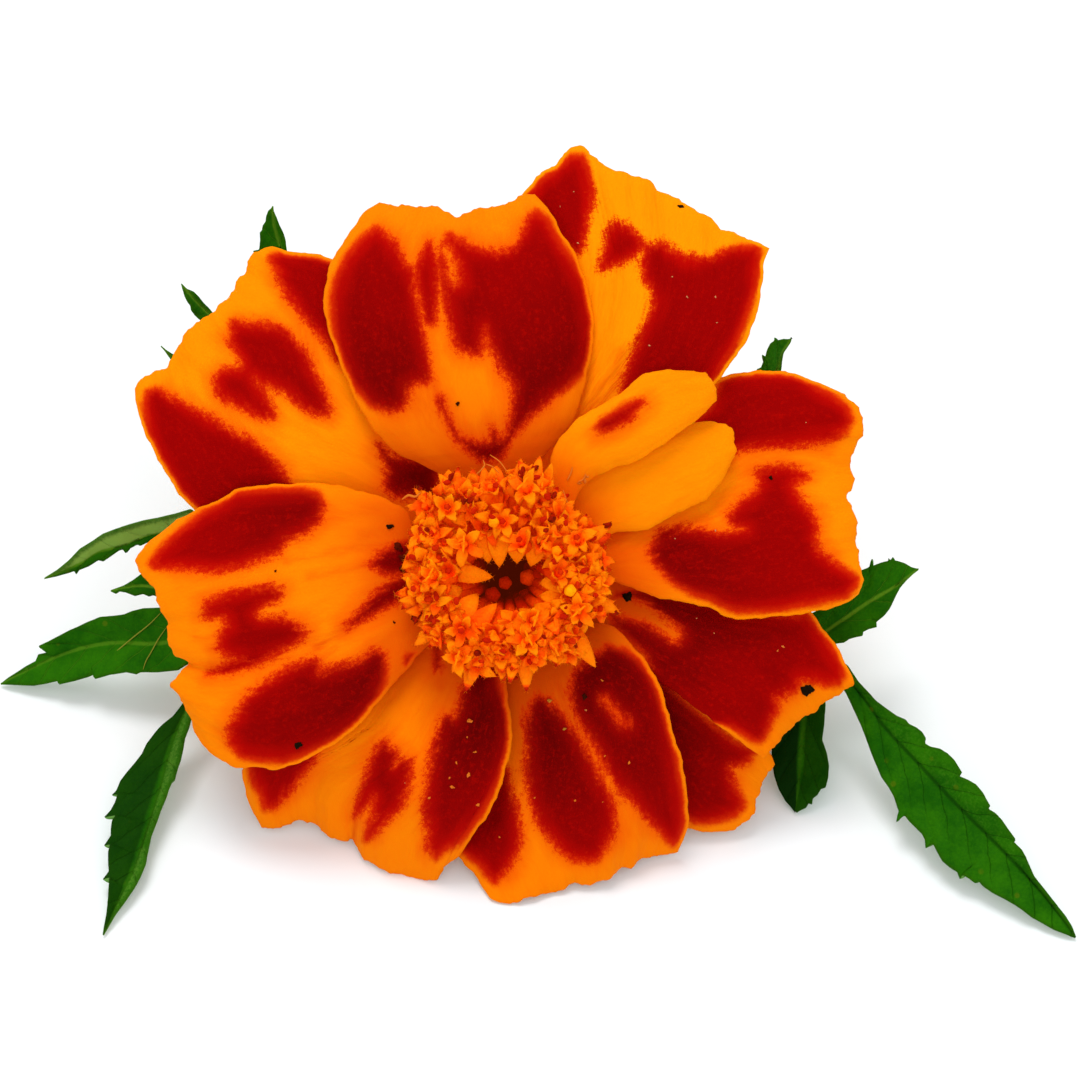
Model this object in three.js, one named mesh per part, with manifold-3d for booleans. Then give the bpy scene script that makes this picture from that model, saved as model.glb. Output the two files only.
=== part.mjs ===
// A single French marigold flower, picked with a short leafy stem and lying on a table.
// Millimetres, +Z up. The origin is on the table, under the middle of the whole flower.
//
// The bloom rests on the edges of its lower petals with its face turned up at a slant. Petals and
// disc are laid out in the face's own frame: x to the right, y up along the face and z out of it,
// with the middle of the disc as zero. Outlines are drawn as they are seen from in front.
import * as THREE from "three";
import Module from "manifold-3d";

const wasm = await Module();
wasm.setup();

// The bloom and how it lies
const FACE_SLANT = 50;
const FACE_HEIGHT = 20.91;
const VIEW_DISTANCE = 300;
const VIEW_X = 2.6;
const VIEW_Y = 2.6;

// Petals
const BLADE = 0.6;
const CLAW_RADIUS = 4.9;
const CLAW_DEPTH = -9.4;
const BASE_RADIUS = 6.2;
const LARGE_PETAL = [13, 9];
const SMALL_PETAL = [8, 7];

// Involucre, the green cup that holds the florets
const CUP_RIM = -6.7;
const CUP_FLOOR = -10;
const CUP_END = -22;
const CUP_WALL = 5.55;
const CUP_SEGMENTS = 36;
const BRACTS = 9;

// Disc
const CORE_RADIUS = 4.2;
const CORE_BOTTOM = -9.7;
const CORE_TOP = -4.2;
const FLORET_SPACING = 1.12;
const FIRST_FLORET = 8;
const LAST_FLORET = 46;

// Stem
const STEM_SIDES = 10;
const STEM_TOP_RADIUS = 2.1;
const STEM_RADIUS = 1.3;
const STEM_END = 45;

const SLANT = THREE.MathUtils.degToRad(FACE_SLANT);
const FACE_UP = new THREE.Vector3(0, Math.sin(SLANT), Math.cos(SLANT));
const FACE_OUT = new THREE.Vector3(0, -Math.cos(SLANT), Math.sin(SLANT));

// A point of the face's frame on the table's axes.
function onTable(x, y, z) {
  return new THREE.Vector3(x, 0, FACE_HEIGHT)
    .addScaledVector(FACE_UP, y)
    .addScaledVector(FACE_OUT, z);
}

// A point seen at x, y from in front that lies z out of the face: one further back is really
// further from the middle of the view than it looks.
function seen(x, y, z) {
  const k = 1 - z / VIEW_DISTANCE;
  return onTable(VIEW_X + (x - VIEW_X) * k, VIEW_Y + (y - VIEW_Y) * k, z);
}

function mix(a, b, t) {
  return a + (b - a) * t;
}

function polar(radius, degrees) {
  const angle = THREE.MathUtils.degToRad(degrees);
  return [radius * Math.cos(angle), radius * Math.sin(angle)];
}

// A repeatable row of random numbers from 0 to 1.
function randomRow(seed) {
  let state = seed;
  return () => {
    state = (state * 1664525 + 1013904223) % 4294967296;
    return state / 4294967296;
  };
}

function geometryOf(points, triangles) {
  const geometry = new THREE.BufferGeometry();
  const flat = points.flatMap((p) => [p.x, p.y, p.z]);
  geometry.setAttribute("position", new THREE.Float32BufferAttribute(flat, 3));
  geometry.setIndex(turnedOut(points, triangles));
  return geometry;
}

// Triangles of a closed body, all facing out.
function turnedOut(points, triangles) {
  let volume = 0;
  for (const [a, b, c] of triangles) {
    volume += points[a].dot(new THREE.Vector3().crossVectors(points[b], points[c]));
  }
  return triangles.flatMap(([a, b, c]) => (volume < 0 ? [a, c, b] : [a, b, c]));
}

function manifoldOf(points, triangles) {
  const mesh = new wasm.Mesh({
    numProp: 3,
    vertProperties: new Float32Array(points.flatMap((p) => [p.x, p.y, p.z])),
    triVerts: new Uint32Array(turnedOut(points, triangles)),
  });
  return new wasm.Manifold(mesh);
}

// Joins solids into one body. A hollow that the joining seals is filled.
function joined(solids) {
  const whole = solids.reduce((sum, solid) => sum.add(solid));
  const body = whole.decompose().reduce((a, b) => (b.volume() > a.volume() ? b : a));
  const mesh = body.getMesh();
  const geometry = new THREE.BufferGeometry();
  geometry.setAttribute("position", new THREE.Float32BufferAttribute(mesh.vertProperties, 3));
  geometry.setIndex(Array.from(mesh.triVerts));
  return geometry;
}

// A blade from a grid of points, half its thickness to each side along the grid's normals, with
// both faces split into the same triangles.
function bladeFromGrid(grid, thickness) {
  const rows = grid.length;
  const columns = grid[0].length;
  const front = [];
  const back = [];
  for (let i = 0; i < rows; i++) {
    for (let j = 0; j < columns; j++) {
      const along = grid[Math.min(i + 1, rows - 1)][j].clone().sub(grid[Math.max(i - 1, 0)][j]);
      const across = grid[i][Math.min(j + 1, columns - 1)].clone()
        .sub(grid[i][Math.max(j - 1, 0)]);
      const normal = along.cross(across).normalize();
      front.push(grid[i][j].clone().addScaledVector(normal, thickness / 2));
      back.push(grid[i][j].clone().addScaledVector(normal, -thickness / 2));
    }
  }
  const triangles = [];
  const offset = rows * columns;
  const at = (i, j) => i * columns + j;
  for (let i = 0; i + 1 < rows; i++) {
    for (let j = 0; j + 1 < columns; j++) {
      const [a, b, c, d] = [at(i, j), at(i, j + 1), at(i + 1, j + 1), at(i + 1, j)];
      triangles.push([a, b, c], [a, c, d]);
      triangles.push([a + offset, c + offset, b + offset], [a + offset, d + offset, c + offset]);
    }
  }
  const rim = [];
  for (let j = 0; j < columns; j++) rim.push(at(0, j));
  for (let i = 1; i < rows; i++) rim.push(at(i, columns - 1));
  for (let j = columns - 2; j >= 0; j--) rim.push(at(rows - 1, j));
  for (let i = rows - 2; i > 0; i--) rim.push(at(i, 0));
  rim.forEach((a, k) => {
    const b = rim[(k + 1) % rim.length];
    triangles.push([b, a, a + offset], [b, a + offset, b + offset]);
  });
  return [front.concat(back), triangles];
}

// A closed tube round a path, with a flat end at each side.
function tube(centres, radii, sideways, sides, turn) {
  const points = [];
  const triangles = [];
  centres.forEach((centre, i) => {
    const tangent = centres[Math.min(i + 1, centres.length - 1)].clone()
      .sub(centres[Math.max(i - 1, 0)]).normalize();
    const right = sideways.clone().addScaledVector(tangent, -sideways.dot(tangent)).normalize();
    const up = new THREE.Vector3().crossVectors(right, tangent);
    for (let k = 0; k < sides; k++) {
      const angle = (2 * Math.PI * (k + turn)) / sides;
      points.push(centre.clone()
        .addScaledVector(right, radii[i] * Math.cos(angle))
        .addScaledVector(up, radii[i] * Math.sin(angle)));
    }
  });
  const last = (centres.length - 1) * sides;
  for (let i = 0; i + 1 < centres.length; i++) {
    for (let k = 0; k < sides; k++) {
      const n = (k + 1) % sides;
      const [a, b, c, d] = [i * sides + k, i * sides + n, (i + 1) * sides + n, (i + 1) * sides + k];
      triangles.push([a, b, c], [a, c, d]);
    }
  }
  for (let k = 1; k + 1 < sides; k++) {
    triangles.push([0, k + 1, k], [last, last + k, last + k + 1]);
  }
  return [points, triangles];
}

// Each petal: claw is the angle of its narrow foot in the ring and half the foot's width in
// degrees; ccw and cw are its two long edges from foot to tip, tip is the end edge from the ccw
// side to the cw side. Heights are z out of the face at the foot, a third, two thirds and the end,
// along the ccw edge, the middle and the cw edge. Pleats are soft ridges or grooves: where across
// the petal at foot and tip, height, width.
const PETALS = {
  petal_top: {
    claw: [102, 13],
    ccw: [[-5.0, 7.6], [-8.0, 9.1], [-9.2, 10.2], [-10.4, 11.8], [-11.5, 14], [-12.4, 16.2], [-13, 18],
      [-13.4, 19.6], [-13.3, 21.4], [-12.8, 23.3], [-12, 24.6], [-11.3, 25.6], [-10.5, 26.8],
      [-9.3, 27.6]],
    cw: [[1.8, 7.6], [3.5, 9.5], [4.4, 10.4], [5.3, 12], [6, 14.5], [6.5, 17], [6.6, 18.5], [6.3, 20.5],
      [5.9, 22], [5.1, 24], [4.1, 25.5], [3.3, 27], [2.2, 28.2]],
    tip: [[-8.3, 27.4], [-6.5, 27.3], [-4.8, 27.2], [-4.1, 26.8], [-3.6, 26.45], [-2.8, 26.9],
      [-1.8, 27.15], [-0.5, 27.35], [0.2, 27.5], [1.1, 28.1]],
    heights: [[-2.4, -2.2, -2.7, -3.6], [-2.4, -1.0, -0.9, -2.4], [-2.4, -2.2, -2.6, -3.4]],
    pleats: [[0.45, 0.33, -0.7, 0.09], [0.62, 0.6, -0.35, 0.08]],
  },
  petal_upper_right: {
    claw: [74, 10],
    ccw: [[2.2, 8.5], [3.6, 11.5], [4.6, 15], [4.7, 18.5], [4, 22], [2.4, 25.3], [1.2, 28.1]],
    cw: [[4.6, 8.3], [7.5, 10.5], [11, 12.4], [14, 13.4], [15.6, 14.1], [16.2, 15], [17.2, 16.3],
      [18, 17.6], [18.6, 19.2], [18.9, 20.5], [19.1, 22], [19.2, 23.2], [19.6, 24.2]],
    tip: [[2.6, 29.7], [3.5, 30.3], [4, 30.6], [4.5, 31.4], [5.3, 31.8], [6, 31.6], [6.6, 31],
      [7.3, 30.4], [8.2, 30], [9.5, 29.6], [10.7, 29.2], [11.5, 28.4], [13, 27.8], [13.6, 27.3],
      [15.3, 26.4], [15.8, 25.8], [17, 25.3], [19, 24.5]],
    heights: [[-4.0, -4.2, -4.4, -4.6], [-4.0, -3.0, -2.6, -4.0], [-4.0, -2.7, -2.4, -4.0]],
    pleats: [[0.4, 0.28, -0.5, 0.09], [0.6, 0.62, -0.5, 0.1]],
  },
  petal_right: {
    claw: [5, 10.5],
    ccw: [[8, 3.5], [10, 6.5], [12.4, 10], [13.8, 12.4], [15.2, 14], [16.5, 14.8], [18, 15.05],
      [20.5, 15.1], [22.3, 14.6], [24, 13.9]],
    cw: [[7.5, -0.4], [9.2, -0.85], [10.5, -1.4], [12, -1.8], [13.8, -2.1], [15.3, -2.5],
      [16.5, -3.1], [17.5, -3.3], [19, -3.15], [21, -3], [23, -2.7], [24.3, -2.4], [25.5, -1.95],
      [26.2, -1.4]],
    tip: [[25, 13.4], [25.9, 12.7], [26.5, 11.6], [26.5, 10.6], [26, 9.5], [25.55, 8.5], [25.8, 7.2],
      [25.7, 6.3], [25.3, 5.9], [25.6, 5.1], [26, 4.4], [26, 2.5], [26.3, 0.8], [26.5, -0.5]],
    heights: [[-2.9, -3.4, -4.0, -4.8], [-2.9, -2.2, -2.3, -4.2], [-2.9, -1.7, -1.9, -3.8]],
    pleats: [[0.5, 0.42, -0.6, 0.1]],
  },
  petal_lower_right: {
    claw: [-20, 10],
    ccw: [[8.2, -0.4], [10.5, -0.2], [13, -0.6], [16, -1.5], [19, -1.6], [21.5, -1.7], [22.6, -2.7],
      [23.6, -4], [24.6, -5.3], [25.2, -6.5], [25.75, -7.6]],
    cw: [[8, -5], [10.5, -7.3], [12.5, -8.6], [15, -10.5], [17, -12], [19.2, -13.6]],
    tip: [[25.8, -8.1], [25.2, -8.55], [24.4, -9], [23.6, -9.5], [22.9, -10.1], [21.7, -10.8],
      [21, -11.5], [20, -12.6]],
    heights: [[-4.3, -4.1, -4.0, -5.2], [-4.3, -3.6, -3.5, -6.0], [-4.3, -3.6, -3.8, -6.9]],
    pleats: [[0.35, 0.4, 0.4, 0.16]],
  },
  petal_low_right: {
    claw: [-44, 9.5],
    ccw: [[9, -5.7], [12.5, -7.7], [15.5, -9.6], [18, -11.6], [19.6, -13.1], [20, -14]],
    cw: [[6.4, -8], [8.8, -12], [10.8, -15.5], [12.2, -17.9], [13.8, -18.8], [15.2, -19], [16.4, -18.95]],
    tip: [[19.4, -14.8], [19, -15.6], [18.65, -16.6], [18.5, -17.5], [18, -18.1], [17.2, -18.7]],
    heights: [[-5.2, -5.2, -5.9, -8.5], [-5.2, -5.4, -6.6, -9.0], [-5.2, -5.8, -8.0, -9.7]],
    pleats: [],
  },
  petal_bottom_right: {
    claw: [-72.5, 14.5],
    ccw: [[5.2, -4.2], [7.2, -3.5], [8.5, -4.2], [9.6, -5.4], [10.6, -6.6], [11.4, -8], [12, -9.8],
      [12.4, -11.5], [13, -13.3], [13.3, -14.7], [13.5, -16.5], [13.6, -17.4], [13.5, -18.8],
      [12.8, -20.5]],
    cw: [[0.2, -8.0], [-0.6, -9.2], [-1.3, -11], [-1.5, -13.5], [-2, -16], [-3, -18.3], [-3.8, -20.2],
      [-3.2, -21.1], [-2.4, -22], [-1.8, -22.9], [-1.1, -23.9]],
    tip: [[12, -20.7], [10.8, -20.8], [10, -21.1], [9.2, -21.7], [8.7, -21.6], [8.3, -22], [7.8, -22.4],
      [7, -22.7], [6.2, -22.95], [5.2, -22.8], [4.6, -23.1], [3.6, -23.5], [2, -23.8], [1, -24.2],
      [0.2, -24.3], [-0.6, -24.2]],
    heights: [[-3.2, -2.2, -3.6, -8.7], [-3.2, -2.8, -4.0, -6.8], [-3.3, -4.6, -7.0, -6.1]],
    pleats: [[0.42, 0.38, 0.45, 0.09], [0.75, 0.8, 0.3, 0.08]],
  },
  petal_bottom_left: {
    claw: [-112, 19.5],
    ccw: [[-0.3, -7.3], [0.1, -8.8], [0.4, -10.4], [0.55, -12], [0.2, -13.8], [-0.3, -15.6], [-1, -17.3],
      [-2.2, -19], [-3.4, -20.8]],
    cw: [[-6.1, -5.2], [-8.0, -6.5], [-10.4, -8.7], [-12.2, -10.6], [-14.5, -11.8], [-17, -12.6],
      [-18.8, -13.2], [-19.4, -14.6], [-19.3, -15.6], [-19, -16.7], [-18.6, -17.6]],
    tip: [[-4.6, -21.7], [-5, -22.4], [-5.5, -22.65], [-6.3, -22.5], [-7.3, -22.3], [-8.5, -22],
      [-9.3, -21.7], [-10, -21.2], [-10.7, -20.7], [-11, -20], [-11.3, -19.5], [-12, -19.75],
      [-12.8, -19.4], [-13.5, -19], [-13.9, -18.5], [-15, -18.15], [-16, -18.4], [-17, -18.75],
      [-17.8, -18.7]],
    heights: [[-2.2, -2.0, -3.0, -6.45], [-2.2, -2.4, -4.3, -9.15], [-2.2, -4.2, -6.0, -10.0]],
    pleats: [[0.38, 0.4, 0.45, 0.09]],
  },
  petal_left: {
    claw: [-160.5, 24.5],
    ccw: [[-5.8, -5.3], [-7.2, -6.9], [-8.9, -8.8], [-10, -10.2], [-11.5, -11.7], [-13.5, -13],
      [-15.3, -13.9], [-17, -14.4], [-18.3, -14.2], [-19.5, -14.3], [-20.5, -14], [-21.5, -13.4],
      [-22.4, -12.5], [-23, -11.6]],
    cw: [[-6.6, 2.6], [-7.2, 4.6], [-8.5, 5.5], [-11, 6.3], [-13.5, 6.8], [-16, 6.75], [-18, 6.65],
      [-19.5, 6.45], [-20.5, 6], [-21.5, 5.4], [-22.6, 5], [-23.5, 4.5], [-24.5, 3.9], [-25.5, 3.1],
      [-26.2, 2.6]],
    tip: [[-23.2, -10.8], [-23.6, -9.9], [-24, -9.1], [-24.7, -8.1], [-24.3, -7.5], [-23.8, -6.9],
      [-23.3, -6.5], [-24.3, -6], [-24.7, -5.4], [-25, -4.9], [-25, -4.2], [-24.9, -3.6], [-25.3, -3],
      [-25.7, -2], [-26.1, -0.8], [-26.6, -0.3], [-27, 0.1], [-27.3, 0.8], [-27.2, 1.4],
      [-26.8, 2]],
    heights: [[-1.65, -2.0, -3.6, -5.4], [-1.65, -1.2, -1.9, -3.9], [-1.65, -2.3, -3.3, -4.5]],
    pleats: [[0.42, 0.38, -0.55, 0.08], [0.68, 0.68, 0.4, 0.09]],
  },
  petal_upper_left: {
    claw: [145, 25.5],
    ccw: [[-8.2, 2.8], [-11, 4.4], [-14, 5.1], [-17, 5], [-20, 4.6], [-22.2, 4.4], [-23.3, 5.1],
      [-24.1, 6], [-25, 7.4], [-25.8, 8.8], [-26.5, 10.2], [-27, 11.5], [-27.3, 12.7],
      [-27.4, 13.8]],
    cw: [[-3.7, 7.1], [-5.6, 9.4], [-8.2, 12.4], [-10.4, 16], [-11.5, 19], [-11.6, 21.5], [-11.9, 23.1],
      [-12.8, 23.4], [-13.5, 23.7], [-15, 23.85], [-16, 24], [-17.2, 24.35]],
    tip: [[-27, 14.5], [-26, 15], [-25.1, 15.4], [-24.6, 16.2], [-24, 17.3], [-23.4, 18.2],
      [-22.4, 19], [-21.9, 19.2], [-21.2, 20], [-20.6, 20.4], [-20.2, 21], [-19.8, 21.8],
      [-19.2, 22.5], [-19, 23.3], [-18.5, 23.9], [-17.9, 24.2]],
    heights: [[-4.7, -4.7, -5.1, -5.9], [-4.7, -3.7, -3.9, -5.5], [-4.7, -4.3, -4.7, -5.4]],
    pleats: [[0.5, 0.48, -0.5, 0.1]],
  },
  petal_small_upper: {
    claw: [51, 9],
    ccw: [[3.2, 7.3], [3.6, 9.3], [5, 11.2], [6.2, 12.1], [8, 13.1], [9.2, 14], [10, 14.7], [11, 15.1],
      [12.5, 15.15], [14, 15.1]],
    cw: [[5.8, 6.6], [8, 7.9], [9.4, 8.3], [11, 9.2], [12.4, 10.2], [13.8, 11.2], [14.9, 12.1]],
    tip: [[14.9, 14.85], [15.4, 14.3], [15.7, 13.7], [15.5, 12.9]],
    heights: [[-1.0, -0.5, 0.2, 0], [-1.0, -0.2, 0.7, 0.3], [-1.0, -0.5, 0.2, 0.1]],
    pleats: [],
  },
  petal_small_lower: {
    claw: [29, 9],
    ccw: [[5.3, 6.1], [7.1, 8.5], [9.6, 9.9], [12, 10.8], [13.9, 11.3], [15.3, 11.4]],
    cw: [[8, 3.1], [10, 3.3], [11.3, 3.7], [12.3, 4.4], [13.5, 4.9], [14.8, 5.6], [15.8, 6.6],
      [16.4, 7.6]],
    tip: [[16.2, 11.2], [16.75, 10.9], [17, 10.1], [17.1, 9.3], [16.8, 8.5]],
    heights: [[-2.1, -1.8, -1.3, -1.3], [-2.1, -1.6, -0.9, -1.1], [-2.1, -1.7, -1.1, -1.5]],
    pleats: [],
  },
};

const FOOT_ROWS = [[CLAW_RADIUS, CLAW_DEPTH], [CLAW_RADIUS, -7.6], [CLAW_RADIUS, null, -1.7],
  [5.05, null, -0.8], [5.45, null, -0.25]];

function lineThrough(points) {
  const curve = new THREE.CatmullRomCurve3(
    points.map(([x, y]) => new THREE.Vector3(x, y, 0)), false, "centripetal");
  curve.arcLengthDivisions = 400;
  return (t) => curve.getPointAt(Math.min(Math.max(t, 0), 1));
}

// Through four evenly spaced values.
function throughFour([a, b, c, d], t) {
  const s = 3 * t;
  return -a * (s - 1) * (s - 2) * (s - 3) / 6 + b * s * (s - 2) * (s - 3) / 2
    - c * s * (s - 1) * (s - 3) / 2 + d * s * (s - 1) * (s - 2) / 6;
}

function petalHeight(petal, u, v) {
  const [ccw, middle, cw] = petal.heights.map((row) => throughFour(row, v));
  let z = ccw * (1 - u) * (1 - 2 * u) + 4 * middle * u * (1 - u) + cw * u * (2 * u - 1);
  for (const [from, to, height, width] of petal.pleats) {
    z += height * v * Math.exp(-(((u - mix(from, to, v)) / width) ** 2));
  }
  return z;
}

// The petal's middle surface, from the foot in the cup to the tip.
function petalGrid(petal, [columns, rows]) {
  const [angle, half] = petal.claw;
  const ccw = [polar(BASE_RADIUS, angle + half), ...petal.ccw];
  const cw = [polar(BASE_RADIUS, angle - half), ...petal.cw];
  const ccwLine = lineThrough(ccw);
  const cwLine = lineThrough(cw);
  const tipLine = lineThrough([petal.ccw.at(-1), ...petal.tip, petal.cw.at(-1)]);
  const footStart = ccwLine(0);
  const footEnd = cwLine(0);
  const corner = [ccwLine(1), cwLine(1)];
  const base = petal.heights[0][0];
  const grid = [];
  for (const [radius, depth, below] of FOOT_ROWS) {
    const row = [];
    for (let j = 0; j <= columns; j++) {
      const [x, y] = polar(radius, mix(angle + half, angle - half, j / columns));
      row.push(onTable(x, y, depth ?? base + below));
    }
    grid.push(row);
  }
  for (let i = 0; i <= rows; i++) {
    const v = i / rows;
    const row = [];
    for (let j = 0; j <= columns; j++) {
      const u = j / columns;
      const [fx, fy] = polar(BASE_RADIUS, mix(angle + half, angle - half, u));
      const tip = tipLine(u);
      const [a, b] = [ccwLine(v), cwLine(v)];
      const blend = (foot, end, left, right, s0, s1, c0, c1) => mix(left, right, u)
        + mix(foot, end, v) - mix(mix(s0, s1, u), mix(c0, c1, u), v);
      const x = blend(fx, tip.x, a.x, b.x, footStart.x, footEnd.x, corner[0].x, corner[1].x);
      const y = blend(fy, tip.y, a.y, b.y, footStart.y, footEnd.y, corner[0].y, corner[1].y);
      row.push(seen(x, y, petalHeight(petal, u, v)));
    }
    grid.push(row);
  }
  return grid;
}

// The involucre: fused bracts make a ribbed cup with a toothed rim and a shallow mouth that the
// feet of the florets stand in. Each row is radius, z and how much the ribs and teeth show there.
const CUP_PROFILE = [
  [0, CUP_FLOOR, 0, 0], [CUP_WALL - 0.4, CUP_FLOOR, 0, 0], [CUP_WALL, CUP_FLOOR + 0.4, 0, 0],
  [CUP_WALL, CUP_RIM - 1.2, 0, 0], [CUP_WALL + 0.05, CUP_RIM, 0, 1], [6.15, CUP_RIM - 0.1, 0, 1],
  [6.35, CUP_RIM - 1.6, 0.1, 0.3], [6.5, -10, 0.16, 0], [6.3, -13, 0.2, 0], [5.7, -16, 0.2, 0],
  [4.7, -18.6, 0.16, 0], [3.3, -20.7, 0.1, 0], [STEM_TOP_RADIUS, CUP_END, 0, 0], [0, CUP_END, 0, 0],
];

function cup() {
  const points = [];
  const triangles = [];
  const rings = CUP_PROFILE.map(([radius, z, rib, tooth]) => {
    const start = points.length;
    if (radius === 0) {
      points.push(onTable(0, 0, z));
      return [start];
    }
    const ring = [];
    for (let k = 0; k < CUP_SEGMENTS; k++) {
      const angle = (2 * Math.PI * k) / CUP_SEGMENTS;
      const wave = Math.cos(BRACTS * angle);
      const r = radius + rib * wave;
      points.push(onTable(r * Math.cos(angle), r * Math.sin(angle), z + 0.5 * tooth * wave));
      ring.push(start + k);
    }
    return ring;
  });
  for (let i = 0; i + 1 < rings.length; i++) {
    const [a, b] = [rings[i], rings[i + 1]];
    for (let k = 0; k < CUP_SEGMENTS; k++) {
      const n = (k + 1) % CUP_SEGMENTS;
      if (a.length === 1) triangles.push([a[0], b[k], b[n]]);
      else if (b.length === 1) triangles.push([a[k], b[0], a[n]]);
      else triangles.push([a[k], b[k], b[n]], [a[k], b[n], a[n]]);
    }
  }
  return geometryOf(points, triangles);
}

// One open disc floret: a slim tube that rises to a knee, leans out and widens into a
// five-lobed star that faces along axis.
function openFloret(foot, knee, mouth, axis, turn, lobe, sinus, lift) {
  const side = new THREE.Vector3(1, 0, 0).addScaledVector(axis, -axis.x).normalize();
  const other = new THREE.Vector3().crossVectors(axis, side);
  const ring = (centre, radius, start, out) => [...Array(5).keys()].map((k) => {
    const angle = start + (2 * Math.PI * k) / 5;
    return centre.clone()
      .addScaledVector(side, radius * Math.cos(angle))
      .addScaledVector(other, radius * Math.sin(angle))
      .addScaledVector(axis, out);
  });
  const points = [
    ...ring(mouth, lobe, turn, lift),
    ...ring(mouth, sinus, turn + Math.PI / 5, 0),
    ...ring(mouth, 0.48, turn, -0.75),
    ...ring(knee, 0.42, turn, 0),
    ...ring(foot, 0.42, turn, 0),
    mouth.clone().addScaledVector(axis, -0.35),
  ];
  const triangles = [[20, 22, 21], [20, 23, 22], [20, 24, 23]];
  for (let k = 0; k < 5; k++) {
    const n = (k + 1) % 5;
    triangles.push([k, 5 + k, 25], [5 + k, n, 25]);
    triangles.push([k, 10 + k, 5 + k], [5 + k, 10 + k, 10 + n], [5 + k, 10 + n, n]);
    triangles.push([10 + k, 15 + k, 15 + n], [10 + k, 15 + n, 10 + n]);
    triangles.push([15 + k, 20 + k, 20 + n], [15 + k, 20 + n, 15 + n]);
  }
  return manifoldOf(points, triangles);
}

function bud(foot, head, radius) {
  const axis = head.clone().sub(foot).normalize();
  const at = (t) => head.clone().addScaledVector(axis, t);
  const [points, triangles] = tube(
    [foot, at(-1.1), at(-0.45 * radius), at(0.35 * radius), at(0.8 * radius), at(radius)],
    [0.35, 0.36, radius, radius * 0.92, radius * 0.55, radius * 0.15],
    new THREE.Vector3(1, 0, 0), 6, 0);
  return manifoldOf(points, triangles);
}

// The disc: a low core in the mouth of the cup, with open florets leaning out all round it and a
// few round buds left in the pit.
function disc() {
  const random = randomRow(7);
  const core = [];
  const radii = [];
  for (const [radius, z] of [[CORE_RADIUS - 0.2, CORE_BOTTOM], [CORE_RADIUS, CORE_BOTTOM + 0.3],
    [CORE_RADIUS, -6.2], [CORE_RADIUS - 0.5, -5], [CORE_RADIUS - 1.6, CORE_TOP], [0.4, CORE_TOP + 0.1]]) {
    core.push(onTable(0, 0, z));
    radii.push(radius);
  }
  const [points, triangles] = tube(core, radii, new THREE.Vector3(1, 0, 0), 16, 0);
  const solids = [manifoldOf(points, triangles)];
  for (let i = FIRST_FLORET; i < LAST_FLORET; i++) {
    const t = (i - FIRST_FLORET) / (LAST_FLORET - FIRST_FLORET);
    const angle = i * 2.39996 + 0.12 * (random() - 0.5);
    const [dx, dy] = [Math.cos(angle), Math.sin(angle)];
    const spread = FLORET_SPACING * Math.sqrt(i) + 0.3 * (random() - 0.5);
    const top = 2.3 - 0.6 * t + (i % 3 - 1) * 0.45;
    const [footRadius, kneeRadius] = [1.5 + 1.5 * t, 2.5 + 1.3 * t];
    const lean = 0.15 + 0.5 * t;
    const near = Math.exp(-(((spread - 3.2) / 1.8) ** 2));
    solids.push(openFloret(
      onTable(footRadius * dx, footRadius * dy, -6),
      onTable(kneeRadius * dx, kneeRadius * dy, -0.3),
      onTable(0.3 + spread * dx + near * (0.3 * spread * dx - 0.4),
        -0.2 + spread * dy - near * (0.18 * spread * dy + 0.5), top),
      onTable(lean * dx, lean * dy, 1).sub(onTable(0, 0, 0)).normalize(),
      6.28 * random(), 1.5 + 0.4 * random(), 0.6, 0.3 * (random() - 0.3)));
  }
  for (const [x, y, radius] of [[0, -0.6, 0.55], [1.7, -0.2, 0.68], [-0.8, -1.55, 0.68],
    [1.5, -1.6, 0.62], [-1.8, 0.1, 0.5]]) {
    solids.push(bud(onTable(x, y, -6), onTable(x, y, -2.4), radius));
  }
  return joined(solids);
}

// The peduncle comes down out of the cup, bends on the table and lies along it to the cut end.
function stem() {
  const start = onTable(0, 0, CUP_END - 0.3);
  const low = STEM_RADIUS * Math.cos(Math.PI / STEM_SIDES);
  const centres = [start, start.clone().addScaledVector(FACE_OUT, -0.5)];
  const radii = [STEM_TOP_RADIUS, STEM_TOP_RADIUS];
  const bend = new THREE.CubicBezierCurve3(
    centres[1],
    start.clone().addScaledVector(FACE_OUT, -2.2),
    new THREE.Vector3(0, start.y + 3.2, low),
    new THREE.Vector3(0.1, start.y + 6.5, low));
  for (let i = 1; i <= 6; i++) {
    centres.push(bend.getPoint(i / 6));
    radii.push(mix(STEM_TOP_RADIUS, STEM_RADIUS, Math.min(i / 5, 1)));
  }
  const from = centres.at(-1);
  for (let i = 1; i <= 6; i++) {
    const t = i / 6;
    centres.push(new THREE.Vector3(0.1 + 1.8 * t * t, mix(from.y, STEM_END, t), low));
    radii.push(STEM_RADIUS);
  }
  return geometryOf(...tube(centres, radii, new THREE.Vector3(1, 0, 0), STEM_SIDES, 0));
}

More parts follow.
